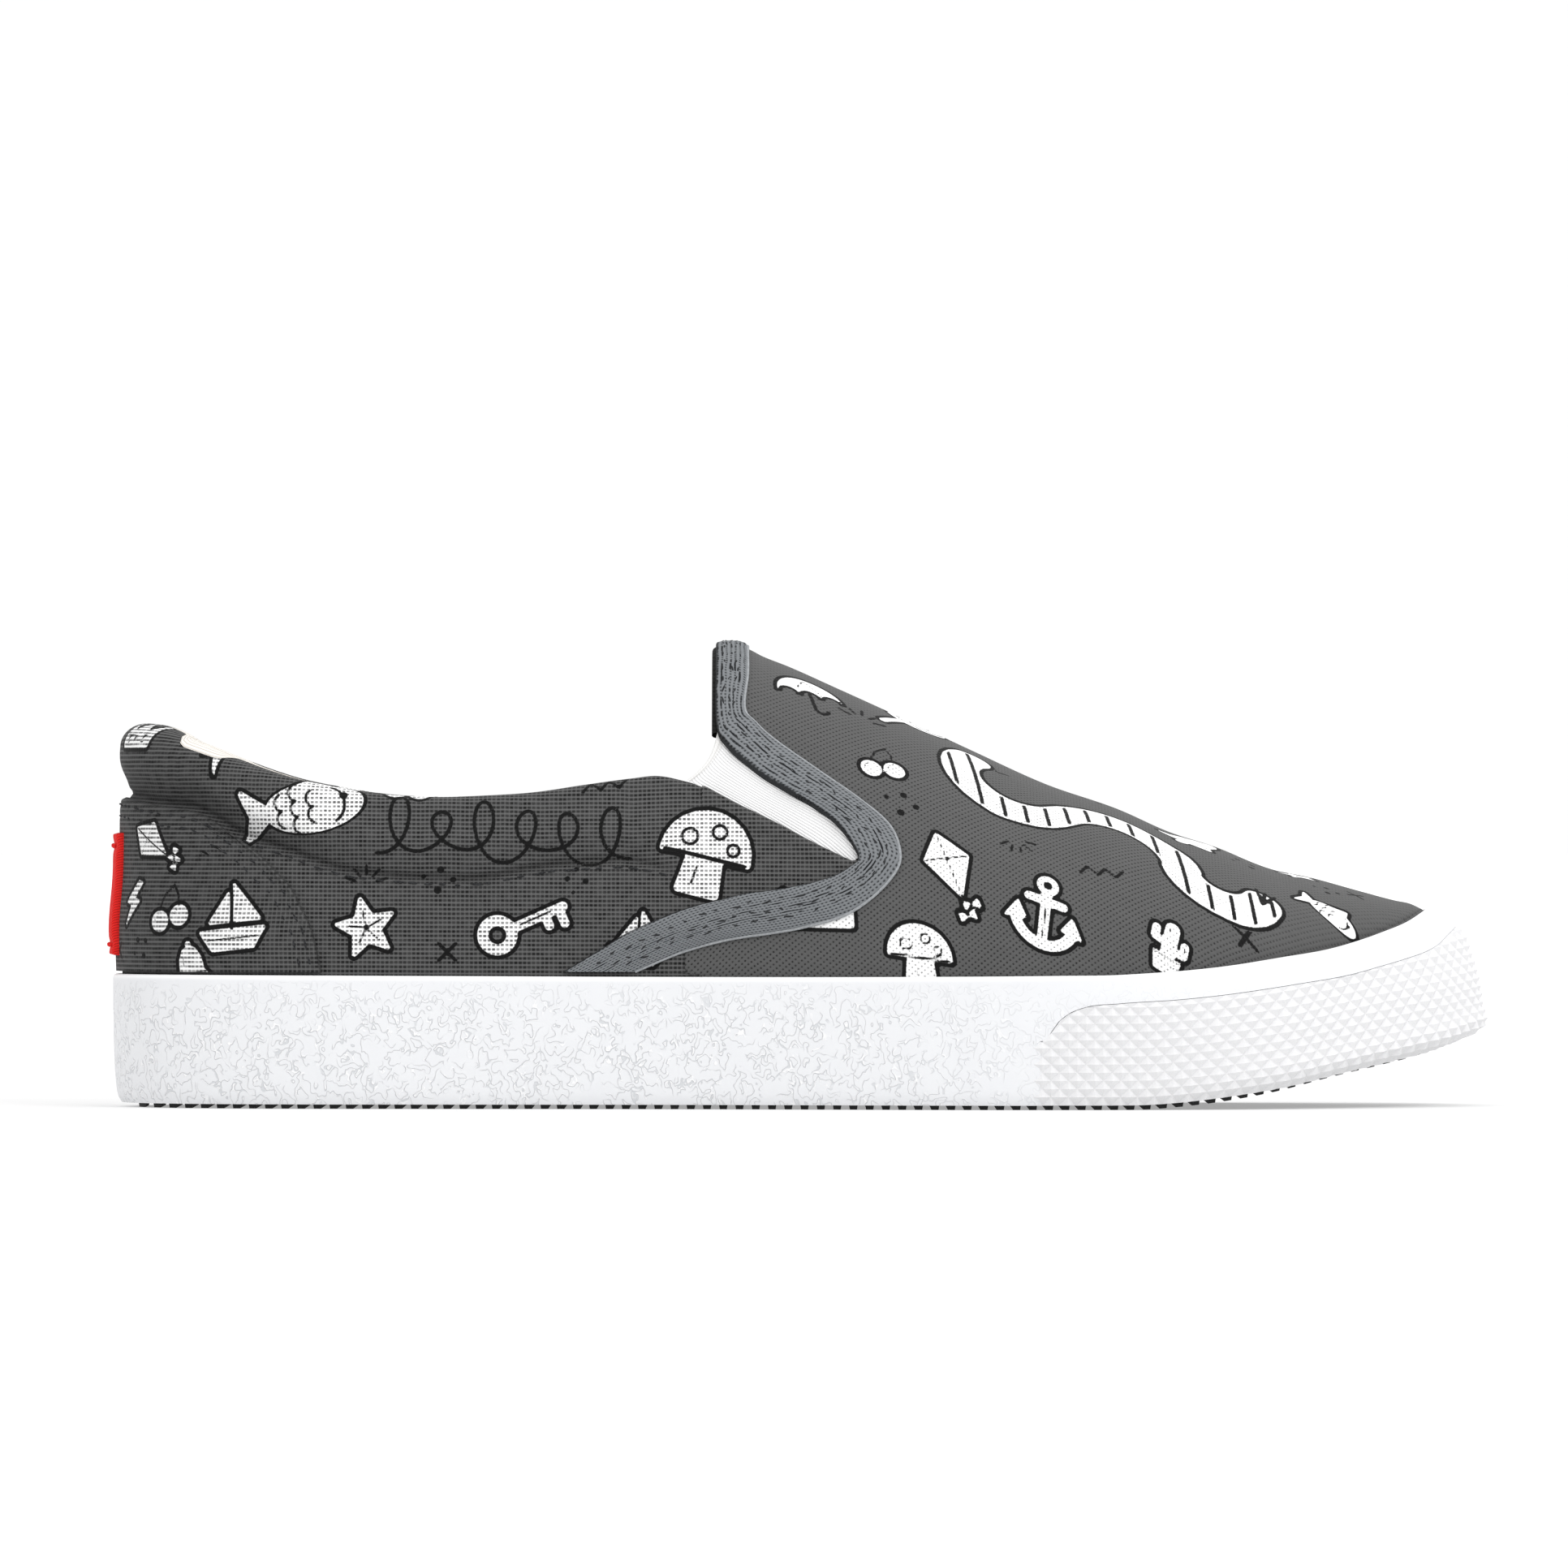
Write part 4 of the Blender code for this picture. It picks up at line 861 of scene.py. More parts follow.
def heel_counter(material):
    """Patch from the foxing up to the collar's seam, dipping under its rows of stitches, with painted shade
    in the seam's groove and a painted shadow line along its edges.
    """
    q, z = patch_lines(90, (1 - (1 - np.linspace(0, 1, 150)) ** 1.3)[None, :])
    halves = []
    for side in SIDES:
        from_heel = run(at_height(q, side, z, -SEAT))
        edge_gap, top_gap = from_heel[:, -1:] - from_heel, z[-1:] - z
        dip = 0.12 * sum(bell(edge_gap - row, 0.45) for row in FRONT_ROWS)
        dip = dip + 0.12 * sum(bell(top_gap - row, 0.45) for row in TOP_ROWS)
        trough = 0.6 * seam_trough(at_x(q, side), z)
        high = patch_height(edge_gap, top_gap) - dip + trough
        # painted shade: the seam groove's depth, and a painted shadow line within 0.5 mm of the patch's front
        # and top edges
        shade = np.maximum(-trough, 0.9 * (1 - ease(np.minimum(edge_gap, top_gap), 0.05, 0.5)))
        top, under = (at_height(q, side, z, inset) for inset in (-SEAT - high, 0.3))
        halves.append((top, under, side * from_heel, z, shade))
    top, under, *layers = (heel_joined(*pair) for pair in zip(*halves))
    made = Piece("along", "up", "painted_shade")
    made.slab(top, under, layers)
    add_print(made, mirrored(ON_PATCH, 3))
    return made.build("heel_patch", material, "heel_counter", ["heel_counter"])


def heel_tab(material):
    """Red label: a slab with rounded edges, pulled in at the two bar tacks that hold it."""
    across = TAB_WIDTH / 2 * np.linspace(0, 1, 36)[None, :]
    z = lerp(*TAB_SPAN, np.linspace(0, 1, 90)[:, None]) * INSTEP + 0 * across
    q = across - HEEL_ARC + 0 * z
    side_gap, end_gap = TAB_WIDTH / 2 - across, np.minimum(z - z[:1], z[-1:] - z)
    near = np.clip(np.minimum(side_gap, end_gap) / 0.5, 0, 1)
    tack = 0.35 * sum(bell(z - at, 1.3) for at in TACKS)
    high = TAB * np.sqrt(1 - (1 - near) ** 2) - tack + 0.12 * bell(side_gap - 0.8, 0.4)
    base = -SEAT - PATCH
    top = heel_joined(*[at_height(q, side, z, base - GAP - high) for side in SIDES])
    under = heel_joined(*[at_height(q, side, z, base + 0.3) for side in SIDES])
    made = Piece("along", "up")
    made.slab(top, under, [heel_joined(-across, across), top[..., 2]])
    return made.build("heel_label", material, "heel_tab", ["heel_tab"])


def taken(at, arc, values):
    """Rows of values, known at the distances arc along a line, at other distances."""
    return np.stack([np.interp(at, arc, column) for column in values.T], -1)


def stitches(name, rows, material, slot, length=2.3, gap=0.85, radius=0.3, stray=0.08):
    """Thread laid over lines of points: each stitch is a low bar with six sides, sunk at both ends.

    rows are (points, outward directions). Along a stitch its centre stands out by sqrt(1 - (2s - 1)^2)."""
    made = Piece()
    hand = np.random.default_rng(5)
    s = np.array([0.0, 0.1, 0.3, 0.5, 0.7, 0.9, 1.0])
    turn = np.linspace(0, 2 * np.pi, 7)[:, None]
    for points, outward in rows:
        arc = np.append(0, np.cumsum(np.linalg.norm(np.diff(points, axis=0), axis=1)))
        count = int(arc[-1] / (length + gap))
        starts = (np.arange(count) + 0.5) * arc[-1] / max(count, 1) - length / 2
        starts = starts + hand.uniform(-0.25, 0.25, count)
        at = (starts[:, None] + s[None, :] * length * hand.uniform(0.45, 1.15, (count, 1))).ravel()
        centre, after, before = (taken(each, arc, points) for each in (at, at + 0.2, at - 0.2))
        normal = unit(taken(at, arc, outward))
        across = unit(np.cross(normal, unit(after - before)))
        shift = hand.uniform(-1, 1, (count, 1)) + (s - 0.5) * hand.uniform(-1.5, 1.5, (count, 1))
        centre = centre + across * (stray * shift).reshape(-1, 1)
        swell = np.tile(np.sqrt(np.clip(1 - (2 * s - 1) ** 2, 0, 1)), count)[:, None]
        centre = centre + normal * radius * (swell - 0.75)
        size = radius * (0.35 + 0.65 * swell)[:, None]
        rim = across[:, None] * np.cos(turn) + normal[:, None] * 0.75 * np.sin(turn)
        shape = (centre[:, None] + size * rim).reshape(count, len(s), len(turn), 3)
        for each in shape:
            made.grid(each)
    return made.build(name, material, slot)


def surface_line(q, side, z, out):
    """Points out mm outside the canvas at columns q and heights z, and the directions that face outward."""
    outward = at_height(q, side, z, -out - 1) - at_height(q, side, z, -out + 1)
    return at_height(q, side, z, -out), unit(outward)


def all_stitches(thread_dark):
    """Rows along the collar's seam, the heel patch's front and top, and the binding's two edges."""
    seams, patch, tape = [], [], []
    front = np.array([(height * INSTEP, x * LENGTH - HEEL_AXIS) for height, x in PATCH_FRONT])
    for side in SIDES:
        q = columns(side, 19 - HEEL_AXIS, 118 - HEEL_AXIS, 0.8)
        seams.append(surface_line(q, side, collar(at_x(q, side), 2) - 1.5, 0.05))
        for gap in FRONT_ROWS:
            z = np.linspace(upper_edge(0) + 1.5, front[-1, 0] - 0.6 - gap * 0.8, 60)
            edge = through(front, z)
            slope = np.gradient(edge, z)
            patch.append(surface_line(edge - gap * np.hypot(1, slope), side, z, SEAT + PATCH - 0.05))
        q = columns(side, -HEEL_ARC, 22 - HEEL_AXIS, 0.5)
        top = collar(at_x(q, side), 2) - PATCH_DROP
        patch += [surface_line(q, side, top - row, SEAT + PATCH - 0.1) for row in TOP_ROWS]
        at = np.linspace(0.25, BINDING_TOP, 400)
        for t in (0.28, 0.5, 0.68):
            q, angle = binding_at(at, t)
            points = skin(q, side, angle, -GAP - BINDING * 0.93, 0.0)
            out = unit(skin(q, side, angle, -GAP - 2, 0.0) - skin(q, side, angle, -GAP, 0.0))
            tape.append((points, out))
    stitches("collar_stitches", seams, thread_dark, "upper", 2.3, 1.0, 0.2, 0.12)
    stitches("patch_stitches", patch, thread_dark, "heel_counter", 2.1, 0.9, 0.2, 0.12)
    stitches("tape_stitches", tape, thread_dark, "throat_binding", 2.2, 1.2, 0.2, 0.4)


def tacks(material):
    """Bar tacks that hold the red label: two knots of thread at each end, across its width."""
    rows = []
    for z in TACKS:
        for side in SIDES:
            q = -HEEL_ARC + np.linspace(0.2, TAB_WIDTH / 2 - 1.0, 12)
            rows.append(surface_line(q, side, z + 0 * q, SEAT + PATCH + GAP + TAB - 0.12))
    return stitches("label_tacks", rows, material, "heel_tab", 1.5, 0.25, 0.5)


def light_edge(material):
    """Thin cord along the binding's outer edge."""
    q, angle = binding_at(np.linspace(0.02, BINDING_TOP, 300), 1.0)
    outer, inner = (skin(q, side, angle, -0.45, 0.0) for side in SIDES)
    made = Piece()
    made.grid(tube(np.concatenate([outer, inner[-2::-1]]), CORD, 8))
    return made.build("tape_edge", material, "throat_binding")


class Value:
    """A number in a material: its operators and methods add Math nodes."""

    def __init__(self, paint, socket):
        self.paint, self.socket = paint, socket

    def math(self, operation, *others):
        return self.paint.node("ShaderNodeMath", {"operation": operation}, [self, *others])

    def __add__(self, other):
        return self.math("ADD", other)

    __radd__ = __add__

    def __sub__(self, other):
        return self.math("SUBTRACT", other)

    def __rsub__(self, other):
        return self.paint.node("ShaderNodeMath", {"operation": "SUBTRACT"}, [other, self])

    def __mul__(self, other):
        return self.math("MULTIPLY", other)

    __rmul__ = __mul__

    def __abs__(self):
        return self.math("ABSOLUTE")

    def sin(self):
        return self.math("SINE")

    def most(self, other):
        return self.math("MAXIMUM", other)

    def step(self, start, end):
        """0 below start, 1 above end, smooth between."""
        inputs = {"Value": self, "From Min": start, "From Max": end}
        return self.paint.node("ShaderNodeMapRange", {"interpolation_type": "SMOOTHSTEP"}, inputs)


class Paint:
    def __init__(self, name, **constants):
        self.material = bpy.data.materials.new(name)
        self.material.use_nodes = True
        self.tree = self.material.node_tree
        self.shader = self.tree.nodes["Principled BSDF"]
        for socket, value in constants.items():
            self.shader.inputs[socket.replace("_", " ")].default_value = value

    def link(self, socket, value):
        if isinstance(value, Value):
            self.tree.links.new(value.socket, socket)
        elif value is not None:
            socket.default_value = value

    def node(self, kind, settings=None, inputs=(), output=0):
        made = self.tree.nodes.new(kind)
        for key, value in (settings or {}).items():
            setattr(made, key, value)
        pairs = inputs.items() if isinstance(inputs, dict) else enumerate(inputs)
        for key, value in pairs:
            self.link(made.inputs[key], value)
        return Value(self, made.outputs[output])

    def layer(self, name):
        """A value kept on the piece's points."""
        return self.node("ShaderNodeAttribute", {"attribute_name": name}, output="Fac")

    def place(self):
        """Object coordinates in millimetres."""
        at = self.node("ShaderNodeTexCoord", output="Object")
        return self.node("ShaderNodeVectorMath", {"operation": "MULTIPLY"}, [at, (1 / MM, 1 / MM, 1 / MM)])

    def join(self, x, y, z=0.0):
        return self.node("ShaderNodeCombineXYZ", None, [x, y, z])

    def noise(self, at, scale, detail=2.0, roughness=0.5, distortion=0.0):
        inputs = {"Vector": at, "Scale": scale, "Detail": detail, "Roughness": roughness}
        return self.node("ShaderNodeTexNoise", None, {**inputs, "Distortion": distortion})

    def mix(self, factor, a, b):
        """Colour a where factor is 0, colour b where it is 1."""
        made = self.tree.nodes.new("ShaderNodeMix")
        made.data_type = "RGBA"
        for socket, value in ((0, factor), (6, a), (7, b)):
            self.link(made.inputs[socket], (*value, 1.0) if isinstance(value, tuple) else value)
        return Value(self, made.outputs[2])

    def finish(self, colour=None, roughness=None, height=None, strength=1.0, depth=0.0001):
        """Joins the colour, the roughness and a height in the range 0 to 1, depth metres deep."""
        if isinstance(colour, tuple):
            colour = (*colour, 1.0)
        self.link(self.shader.inputs["Base Color"], colour)
        self.link(self.shader.inputs["Roughness"], roughness)
        if height is not None:
            inputs = {"Strength": strength, "Distance": depth, "Height": height}
            self.link(self.shader.inputs["Normal"], self.node("ShaderNodeBump", None, inputs))
        return self.material


def grey(value):
    """Linear grey of an sRGB level from 0 to 255."""
    return rgb(value, value, value)


def rgb(*levels):
    """Linear colour of sRGB levels from 0 to 255: ((c + 0.055) / 1.055)^2.4, or c / 12.92 where dark."""
    c = np.array(levels) / 255
    return tuple(float(each) for each in np.where(c > 0.04045, ((c + 0.055) / 1.055) ** 2.4, c / 12.92))
def stroke(u, v, points, width):
    """Distance outside a line through the points, width mm wide with round ends."""
    far = np.full(u.shape, 99.0)
    for (x0, y0), (x1, y1) in zip(points[:-1], points[1:]):
        dx, dy = x1 - x0, y1 - y0
        t = np.clip(((u - x0) * dx + (v - y0) * dy) / max(dx * dx + dy * dy, 1e-9), 0, 1)
        far = np.minimum(far, np.hypot(u - x0 - t * dx, v - y0 - t * dy))
    return far - width / 2


def blot(u, v, points, soft):
    """Distance outside a closed outline, its corners rounded by soft mm."""
    far = stroke(u, v, points + points[:1], 0)
    return np.where(inside_outline(u, v, np.array(points, float)), -far, far) - soft


def disc(u, v, points, radius):
    return np.min([np.hypot(u - x, v - y) for x, y in points], axis=0) - radius


def oval(u, v, points, size):
    """Distance outside a circle flattened along v: size is its radius and its flatness."""
    return np.hypot(u - points[0][0], (v - points[0][1]) / size[1]) - size[0]


def ring_line(u, v, points, size):
    """Distance outside round lines: size is their radius and half their width."""
    return np.min([abs(np.hypot(u - x, v - y) - size[0]) for x, y in points], axis=0) - size[1]


def canopy(u, v, points, radius):
    """Distance outside the top of a disc, its lower edge scalloped under each point."""
    top = np.maximum(disc(u, v, [(0, -1)], radius), -v - 0.6)
    return np.maximum(top, -disc(u, v, points, 2.85))


def stripes(u, v, points, width):
    """Distance outside slanted bars 4 mm apart that fill a broad line."""
    return np.maximum(abs(np.mod(u * 0.9 + v * 0.25, 4) - 2) - 0.4, stroke(u, v, points, width) + 0.5)


def bend(x, y, r, start, end, count=12):
    """Points on an arc, in degrees."""
    angle = np.radians(np.linspace(start, end, count))
    return list(zip(x + r * np.cos(angle), y + r * np.sin(angle)))


def loops(t):
    """Point of a looping line 56 mm long."""
    size = 5.4 + 1.8 * np.sin(5 * np.pi * t + 0.5)
    return -28 + 56 * t + 4.2 * np.sin(12 * np.pi * t), -size * np.cos(12 * np.pi * t)


TIPS = bend(0, 0, 8, 90, 378, 5)
NOTCHES = bend(0, 0, 3.7, 126, 414, 5)
COIL = [(0.43 * t * np.cos(t), 3 + 0.43 * t * np.sin(t)) for t in np.linspace(0.4, 14, 40)]
SCARF = bend(-17, 4, 11, 150, 330, 16) + bend(4, -8, 13.2, 150, 20, 14) + bend(24, -1.5, 8.2, 200, 350, 12)
SCALES = ((2, 1.4), (2, -1.4), (-0.8, 0), (-0.8, 2.8), (-0.8, -2.8), (-3.4, 1.4), (-3.4, -1.4))
SPINES = ((-0.9, 6), (0.9, 4.4), (-0.8, 2.6), (0.9, 0.8), (-0.7, -1.2), (-4.8, 3.6), (4.6, 2))
BELL_SIDE = [(-7, -5), (-5, -2.4), (-4.4, 2.6), (-2.6, 6), (0, 7)]

# motifs: white shapes, then black marks, each with its kind, its size and its points in mm
star = (
    [(blot, 0.5, *[each for pair in zip(TIPS, NOTCHES) for each in pair])],
    [(stroke, 0.6, (0, 0), (0.6 * x, 0.6 * y)) for x, y in TIPS],
)
anchor = (
    [
        (ring_line, (1.7, 0.7), (0, 6.6)), (stroke, 2.2, (0, 4.4), (0, -7.4)),
        (stroke, 2, (-3.8, 2.6), (3.8, 2.6)), (stroke, 2.3, *bend(0, -1, 6.6, 200, 340)),
        *[(blot, 0.2, (8.4 * s, -3.6), (6 * s, 0.6), (3.9 * s, -2.9)) for s in SIDES],
    ],
    [(stroke, 0.5, (0.1, 1.2), (0, -5.6))],
)
mushroom = (
    [
        (blot, 0.6, *bend(0, 0.5, 8, 0, 180)),
        (blot, 0.8, (-2.6, 0.5), (2.6, 0.5), (3.4, -6.4), (-3.4, -6.4)),
    ],
    [
        (stroke, 0.8, (-7.6, 0.2), (7.6, 0.2)), (stroke, 0.5, (-1, -2), (-1.3, -5)),
        *[(ring_line, (r, 0.3), (x, y)) for x, y, r in ((-3.6, 3.4, 1.5), (1.6, 5.4, 1.3), (4.8, 2.6, 1.1))],
    ],
)
fish = (
    [
        (oval, (8.5, 0.52), (1.5, 0)), (blot, 0.5, (-5.5, 0), (-11, 4.2), (-9.6, 0), (-11, -4.2)),
        (blot, 0.5, (-1, 3.6), (4, 6.6), (4.6, 3.2)),
    ],
    [
        (disc, 0.75, (6.8, 1.1)), (stroke, 0.55, *bend(3.2, 0, 3.6, -62, 62)),
        *[(stroke, 0.5, *bend(x, y, 1.6, 110, 250, 7)) for x, y in SCALES],
    ],
)
key = (
    [
        (ring_line, (3.05, 1.15), (-6, 0)), (stroke, 2, (-2, 0), (9, 0)),
        (stroke, 1.9, (8, 0), (8, -3.4)), (stroke, 1.9, (4.8, 0), (4.8, -2.6)),
    ],
    [(stroke, 0.45, (-0.8, 0.1), (6.2, 0.1))],
)
bolt = [(blot, 0.3, (1, 8), (-4, -0.6), (-0.4, -0.6), (-2, -8), (4, 1.8), (0.4, 1.8), (3.4, 8))], []
cactus = (
    [
        (stroke, 4.6, (0, -4), (0, 6)), (stroke, 2.6, (0, 0.5), (-4.8, 0.8), (-4.8, 4)),
        (stroke, 2.6, (0, -1), (4.6, -0.8), (4.6, 2.6)), (blot, 0.5, (-4, -4), (4, -4), (3, -9), (-3, -9)),
    ],
    [
        (stroke, 0.7, (-4.2, -4.1), (4.2, -4.1)), (stroke, 0.5, (-3.4, -6.4), (3.4, -6.4)),
        *[(stroke, 0.5, (x, y), (x + 0.2, y - 1.1)) for x, y in SPINES],
    ],
)
boat = (
    [
        (blot, 0.5, (-8, -3), (8, -3), (5, -7.4), (-5.4, -7.4)),
        (blot, 0.4, (0.8, 8), (0.8, -0.8), (7, -0.8)), (blot, 0.4, (-0.8, 6), (-0.8, -0.8), (-5.6, -0.8)),
    ],
    [(stroke, 0.9, (0, 8.6), (0, -2.6)), (stroke, 0.5, (-6.6, -5), (6.4, -5))],
)
umbrella = (
    [(canopy, 8.6, (-5.7, -1.2), (0, -1.2), (5.7, -1.2))],
    [
        (stroke, 1.1, (0, 1.2), (0, -6.4), *bend(1.7, -6.4, 1.7, 180, 350, 8)),
        *[(stroke, 0.5, (0, 7), (x, 2.4), (1.25 * x, 0.4)) for x in (-2.7, 2.7)],
    ],
)
crown = (
    [
        (blot, 0.5, (-8, -5), (-9, 5), (-4.3, 0.6), (0, 7), (4.3, 0.6), (9, 5), (8, -5)),
        (disc, 1.3, (-9, 6), (0, 8), (9, 6)),
    ],
    [
        (stroke, 0.5, (-8, -0.6), (0, -1), (8, -0.6)),
        (ring_line, (0.9, 0.3), (-4.6, -2.6), (0, -2.6), (4.6, -2.6)),
    ],
)
cherries = (
    [(disc, 3.6, (-4, -4), (4, -3))],
    [
        (stroke, 0.9, (-4, -0.4), (-1.6, 4.6), (2.4, 7.6), (3.9, 4), (4, 0.4)),
        *[(stroke, 0.5, *bend(x, y, 2.2, 100, 170, 6)) for x, y in ((-4, -4), (4, -3))],
    ],
)
kite = (
    [
        (blot, 0.4, (0, 8), (5.4, 1.6), (0, -8), (-5.4, 1.6)),
        *[
            (blot, 0.25, (x - 1.8, y + 1), (x + 1.8, y - 1), (x + 1.8, y + 1), (x - 1.8, y - 1))
            for x, y in ((1.6, -10.6), (-0.4, -13))
        ],
    ],
    [
        (stroke, 0.7, (0, -8), (1.8, -10.4), (-0.6, -12.6), (1.6, -15)),
        (stroke, 0.5, (0, 8), (0, -8)), (stroke, 0.5, (-5.4, 1.6), (5.4, 1.6)),
    ],
)
lolly = [(disc, 6.4, (0, 3)), (stroke, 1.7, (0, -3), (0, -11))], [(stroke, 0.6, *COIL)]
bell_shape = (
    [
        (blot, 0.5, *BELL_SIDE, *[(-x, y) for x, y in BELL_SIDE[-2::-1]]),
        (disc, 1.7, (0, -6.6)), (disc, 1.3, (0, 8)),
    ],
    [(stroke, 0.6, (-6, -3), (6, -3)), (stroke, 0.5, (-2.8, 3.4), (-3.2, 0))],
)
ribbon = (
    [(stroke, 7.4, *SCARF)],
    [
        (stripes, 7.4, *SCARF),
        *[(stroke, 0.8, SCARF[-1], (SCARF[-1][0] + x, SCARF[-1][1] + 4.6)) for x in (-1.8, 0, 1.8)],
    ],
)
curls = [], [(stroke, 0.85, *[loops(t) for t in np.linspace(0, 1, 150)])]
dots = [], [(disc, 0.85, (0, 0)), (disc, 0.75, (3.2, 2.4)), (disc, 0.8, (0.6, 4.8)), (disc, 0.6, (-3, 3.2))]
rays = [], [(stroke, 0.75, *pair) for pair in zip(bend(0, 0, 2.6, 20, 160, 5), bend(0, 0, 5.2, 20, 160, 5))]
zigzag = [], [(stroke, 0.85, (-6, -1), (-3.6, 1.6), (-1.2, -1), (1.2, 1.6), (3.6, -1), (6, 1.6))]
cross = [], [(stroke, 0.9, (-2, -2), (2, 2)), (stroke, 0.9, (-2, 2), (2, -2))]

# motif, its place on the cloth in mm, its turn in degrees and its scale
ON_QUARTERS = (
    (fish, 57, 36, 10, 1.25), (curls, 99, 31, -3, 0.95), (mushroom, 141, 25, -14, 1.15),
    (star, 70, 10, 12, 0.78), (key, 103, 11, 24, 1.0), (boat, 127, 8, -5, 0.7), (dots, 85, 18, 0, 1.0),
    (rays, 70, 19, 0, 0.9), (cross, 87, 5, 0, 0.9), (zigzag, 120, 41, 8, 0.8), (bolt, 35, 49, 20, 0.75),
    (crown, 12, 52, 0, 0.62), (cherries, 79, 43, -12, 0.62), (dots, 116, 20, 90, 0.8),
    (star, 160, 14, 30, 0.6), (zigzag, 150, 6, -8, 0.7),
)
ON_PATCH = (
    (bolt, 15, 43, -14, 0.62), (cherries, 27, 42, 8, 0.62), (boat, 42, 40, 6, 0.86), (dots, 20, 32, 40, 0.8),
    (cross, 8, 33, 0, 0.8), (kite, 20, 56, 60, 0.68), (zigzag, 36, 54, 24, 0.6),
    (bell_shape, 33, 30, 10, 0.55),
)
ON_VAMP = (
    (ribbon, 208, -30, -8, 1.08), (umbrella, 147, -17, 14, 0.82), (cherries, 162, -33, 8, 0.62),
    (lolly, 168, -6, -32, 0.95), (kite, 176, -56, 22, 0.88), (crown, 148, -71, 10, 0.9),
    (anchor, 196, -62, -6, 0.95), (bell_shape, 228, -12, -28, 0.85), (cactus, 222, -60, -12, 0.66),
    (fish, 256, -30, -22, 0.6), (mushroom, 170, -78, 4, 0.8), (bolt, 130, -62, 10, 0.7),
    (dots, 166, -46, 0, 1.0), (dots, 240, -18, 50, 0.9), (rays, 158, -20, 0, 1.0), (cross, 238, -50, 20, 1.0),
    (zigzag, 208, -48, 12, 0.8), (dots, 256, -20, 10, 0.8), (cross, 262, -14, 0, 0.8),
    (zigzag, 184, -16, -20, 0.8), (dots, 208, -8, 0, 0.9), (star, 250, -8, 24, 0.5),
    (rays, 190, -45, 200, 0.8), (boat, 196, 6, 178, 0.8), (key, 150, 10, 140, 0.95),
    (star, 168, 28, 190, 0.95), (fish, 200, 32, 166, 1.15), (cactus, 232, 22, 204, 0.85),
    (crown, 176, 56, 184, 0.9), (anchor, 150, 44, 172, 0.85), (umbrella, 204, 58, 190, 0.85),
    (kite, 142, 70, 160, 0.8), (cherries, 226, 46, 170, 0.7), (lolly, 118, 66, 190, 0.8),
    (bell_shape, 168, 76, 180, 0.7), (bolt, 250, 26, 150, 0.6), (dots, 186, 44, 0, 1.0),
    (dots, 160, 60, 0, 1.0), (cross, 214, 20, 0, 1.0), (rays, 182, 14, 180, 0.9), (zigzag, 236, 36, 20, 0.8),
    (curls, 186, 76, 2, 0.5),
)


def drawn(u, v, shapes):
    """Distance outside the nearest shape."""
    far = np.full(u.shape, 99.0)
    for kind, size, *points in shapes:
        far = np.minimum(far, kind(u, v, points, size))
    return far


def printed(u, v, placed):
    """Distances outside the print's white shapes and outside its black marks, in mm of cloth."""
    white, black = np.full(u.shape, 9.0), np.full(u.shape, 9.0)
    for motif, at_u, at_v, turn, scale, flip in placed:
        c, s = np.cos(np.radians(turn)), np.sin(np.radians(turn))
        du, dv = (u - at_u) / scale, (v - at_v) / scale
        near = np.hypot(du, dv) < 42
        x, y = c * du[near] + s * dv[near], c * dv[near] - s * du[near]
        fill, mark = (drawn(flip * x, y, shapes) for shapes in motif)
        hidden = np.where(white[near] < 0.9, 9.0, mark * scale)
        white[near] = np.minimum(white[near], fill * scale)
        black[near] = np.minimum(black[near], np.where(fill < 0.9, mark * scale, hidden))
    return white, black


def add_print(made, placed):
    """Works out the print on a piece whose first two layers are its cloth coordinates."""
    made.layers = [np.vstack([layers, printed(*layers[:2], placed)]) for layers in made.layers]
    made.names = (*made.names, "white_shape", "black_mark")
    return made


def mirrored(placed, shift):
    """The shapes for the outer side, whose cloth runs toward minus u, then shifted for the inner side."""
    outer = [(motif, -u, v, -turn, size, -1) for motif, u, v, turn, size in placed]
    return outer + [(motif, u + shift, v, turn, size, 1) for motif, u, v, turn, size in placed]


def waves(value, pitch):
    """0 at every whole pitch of the value, 1 midway between."""
    return abs((value * (np.pi / pitch)).sin())


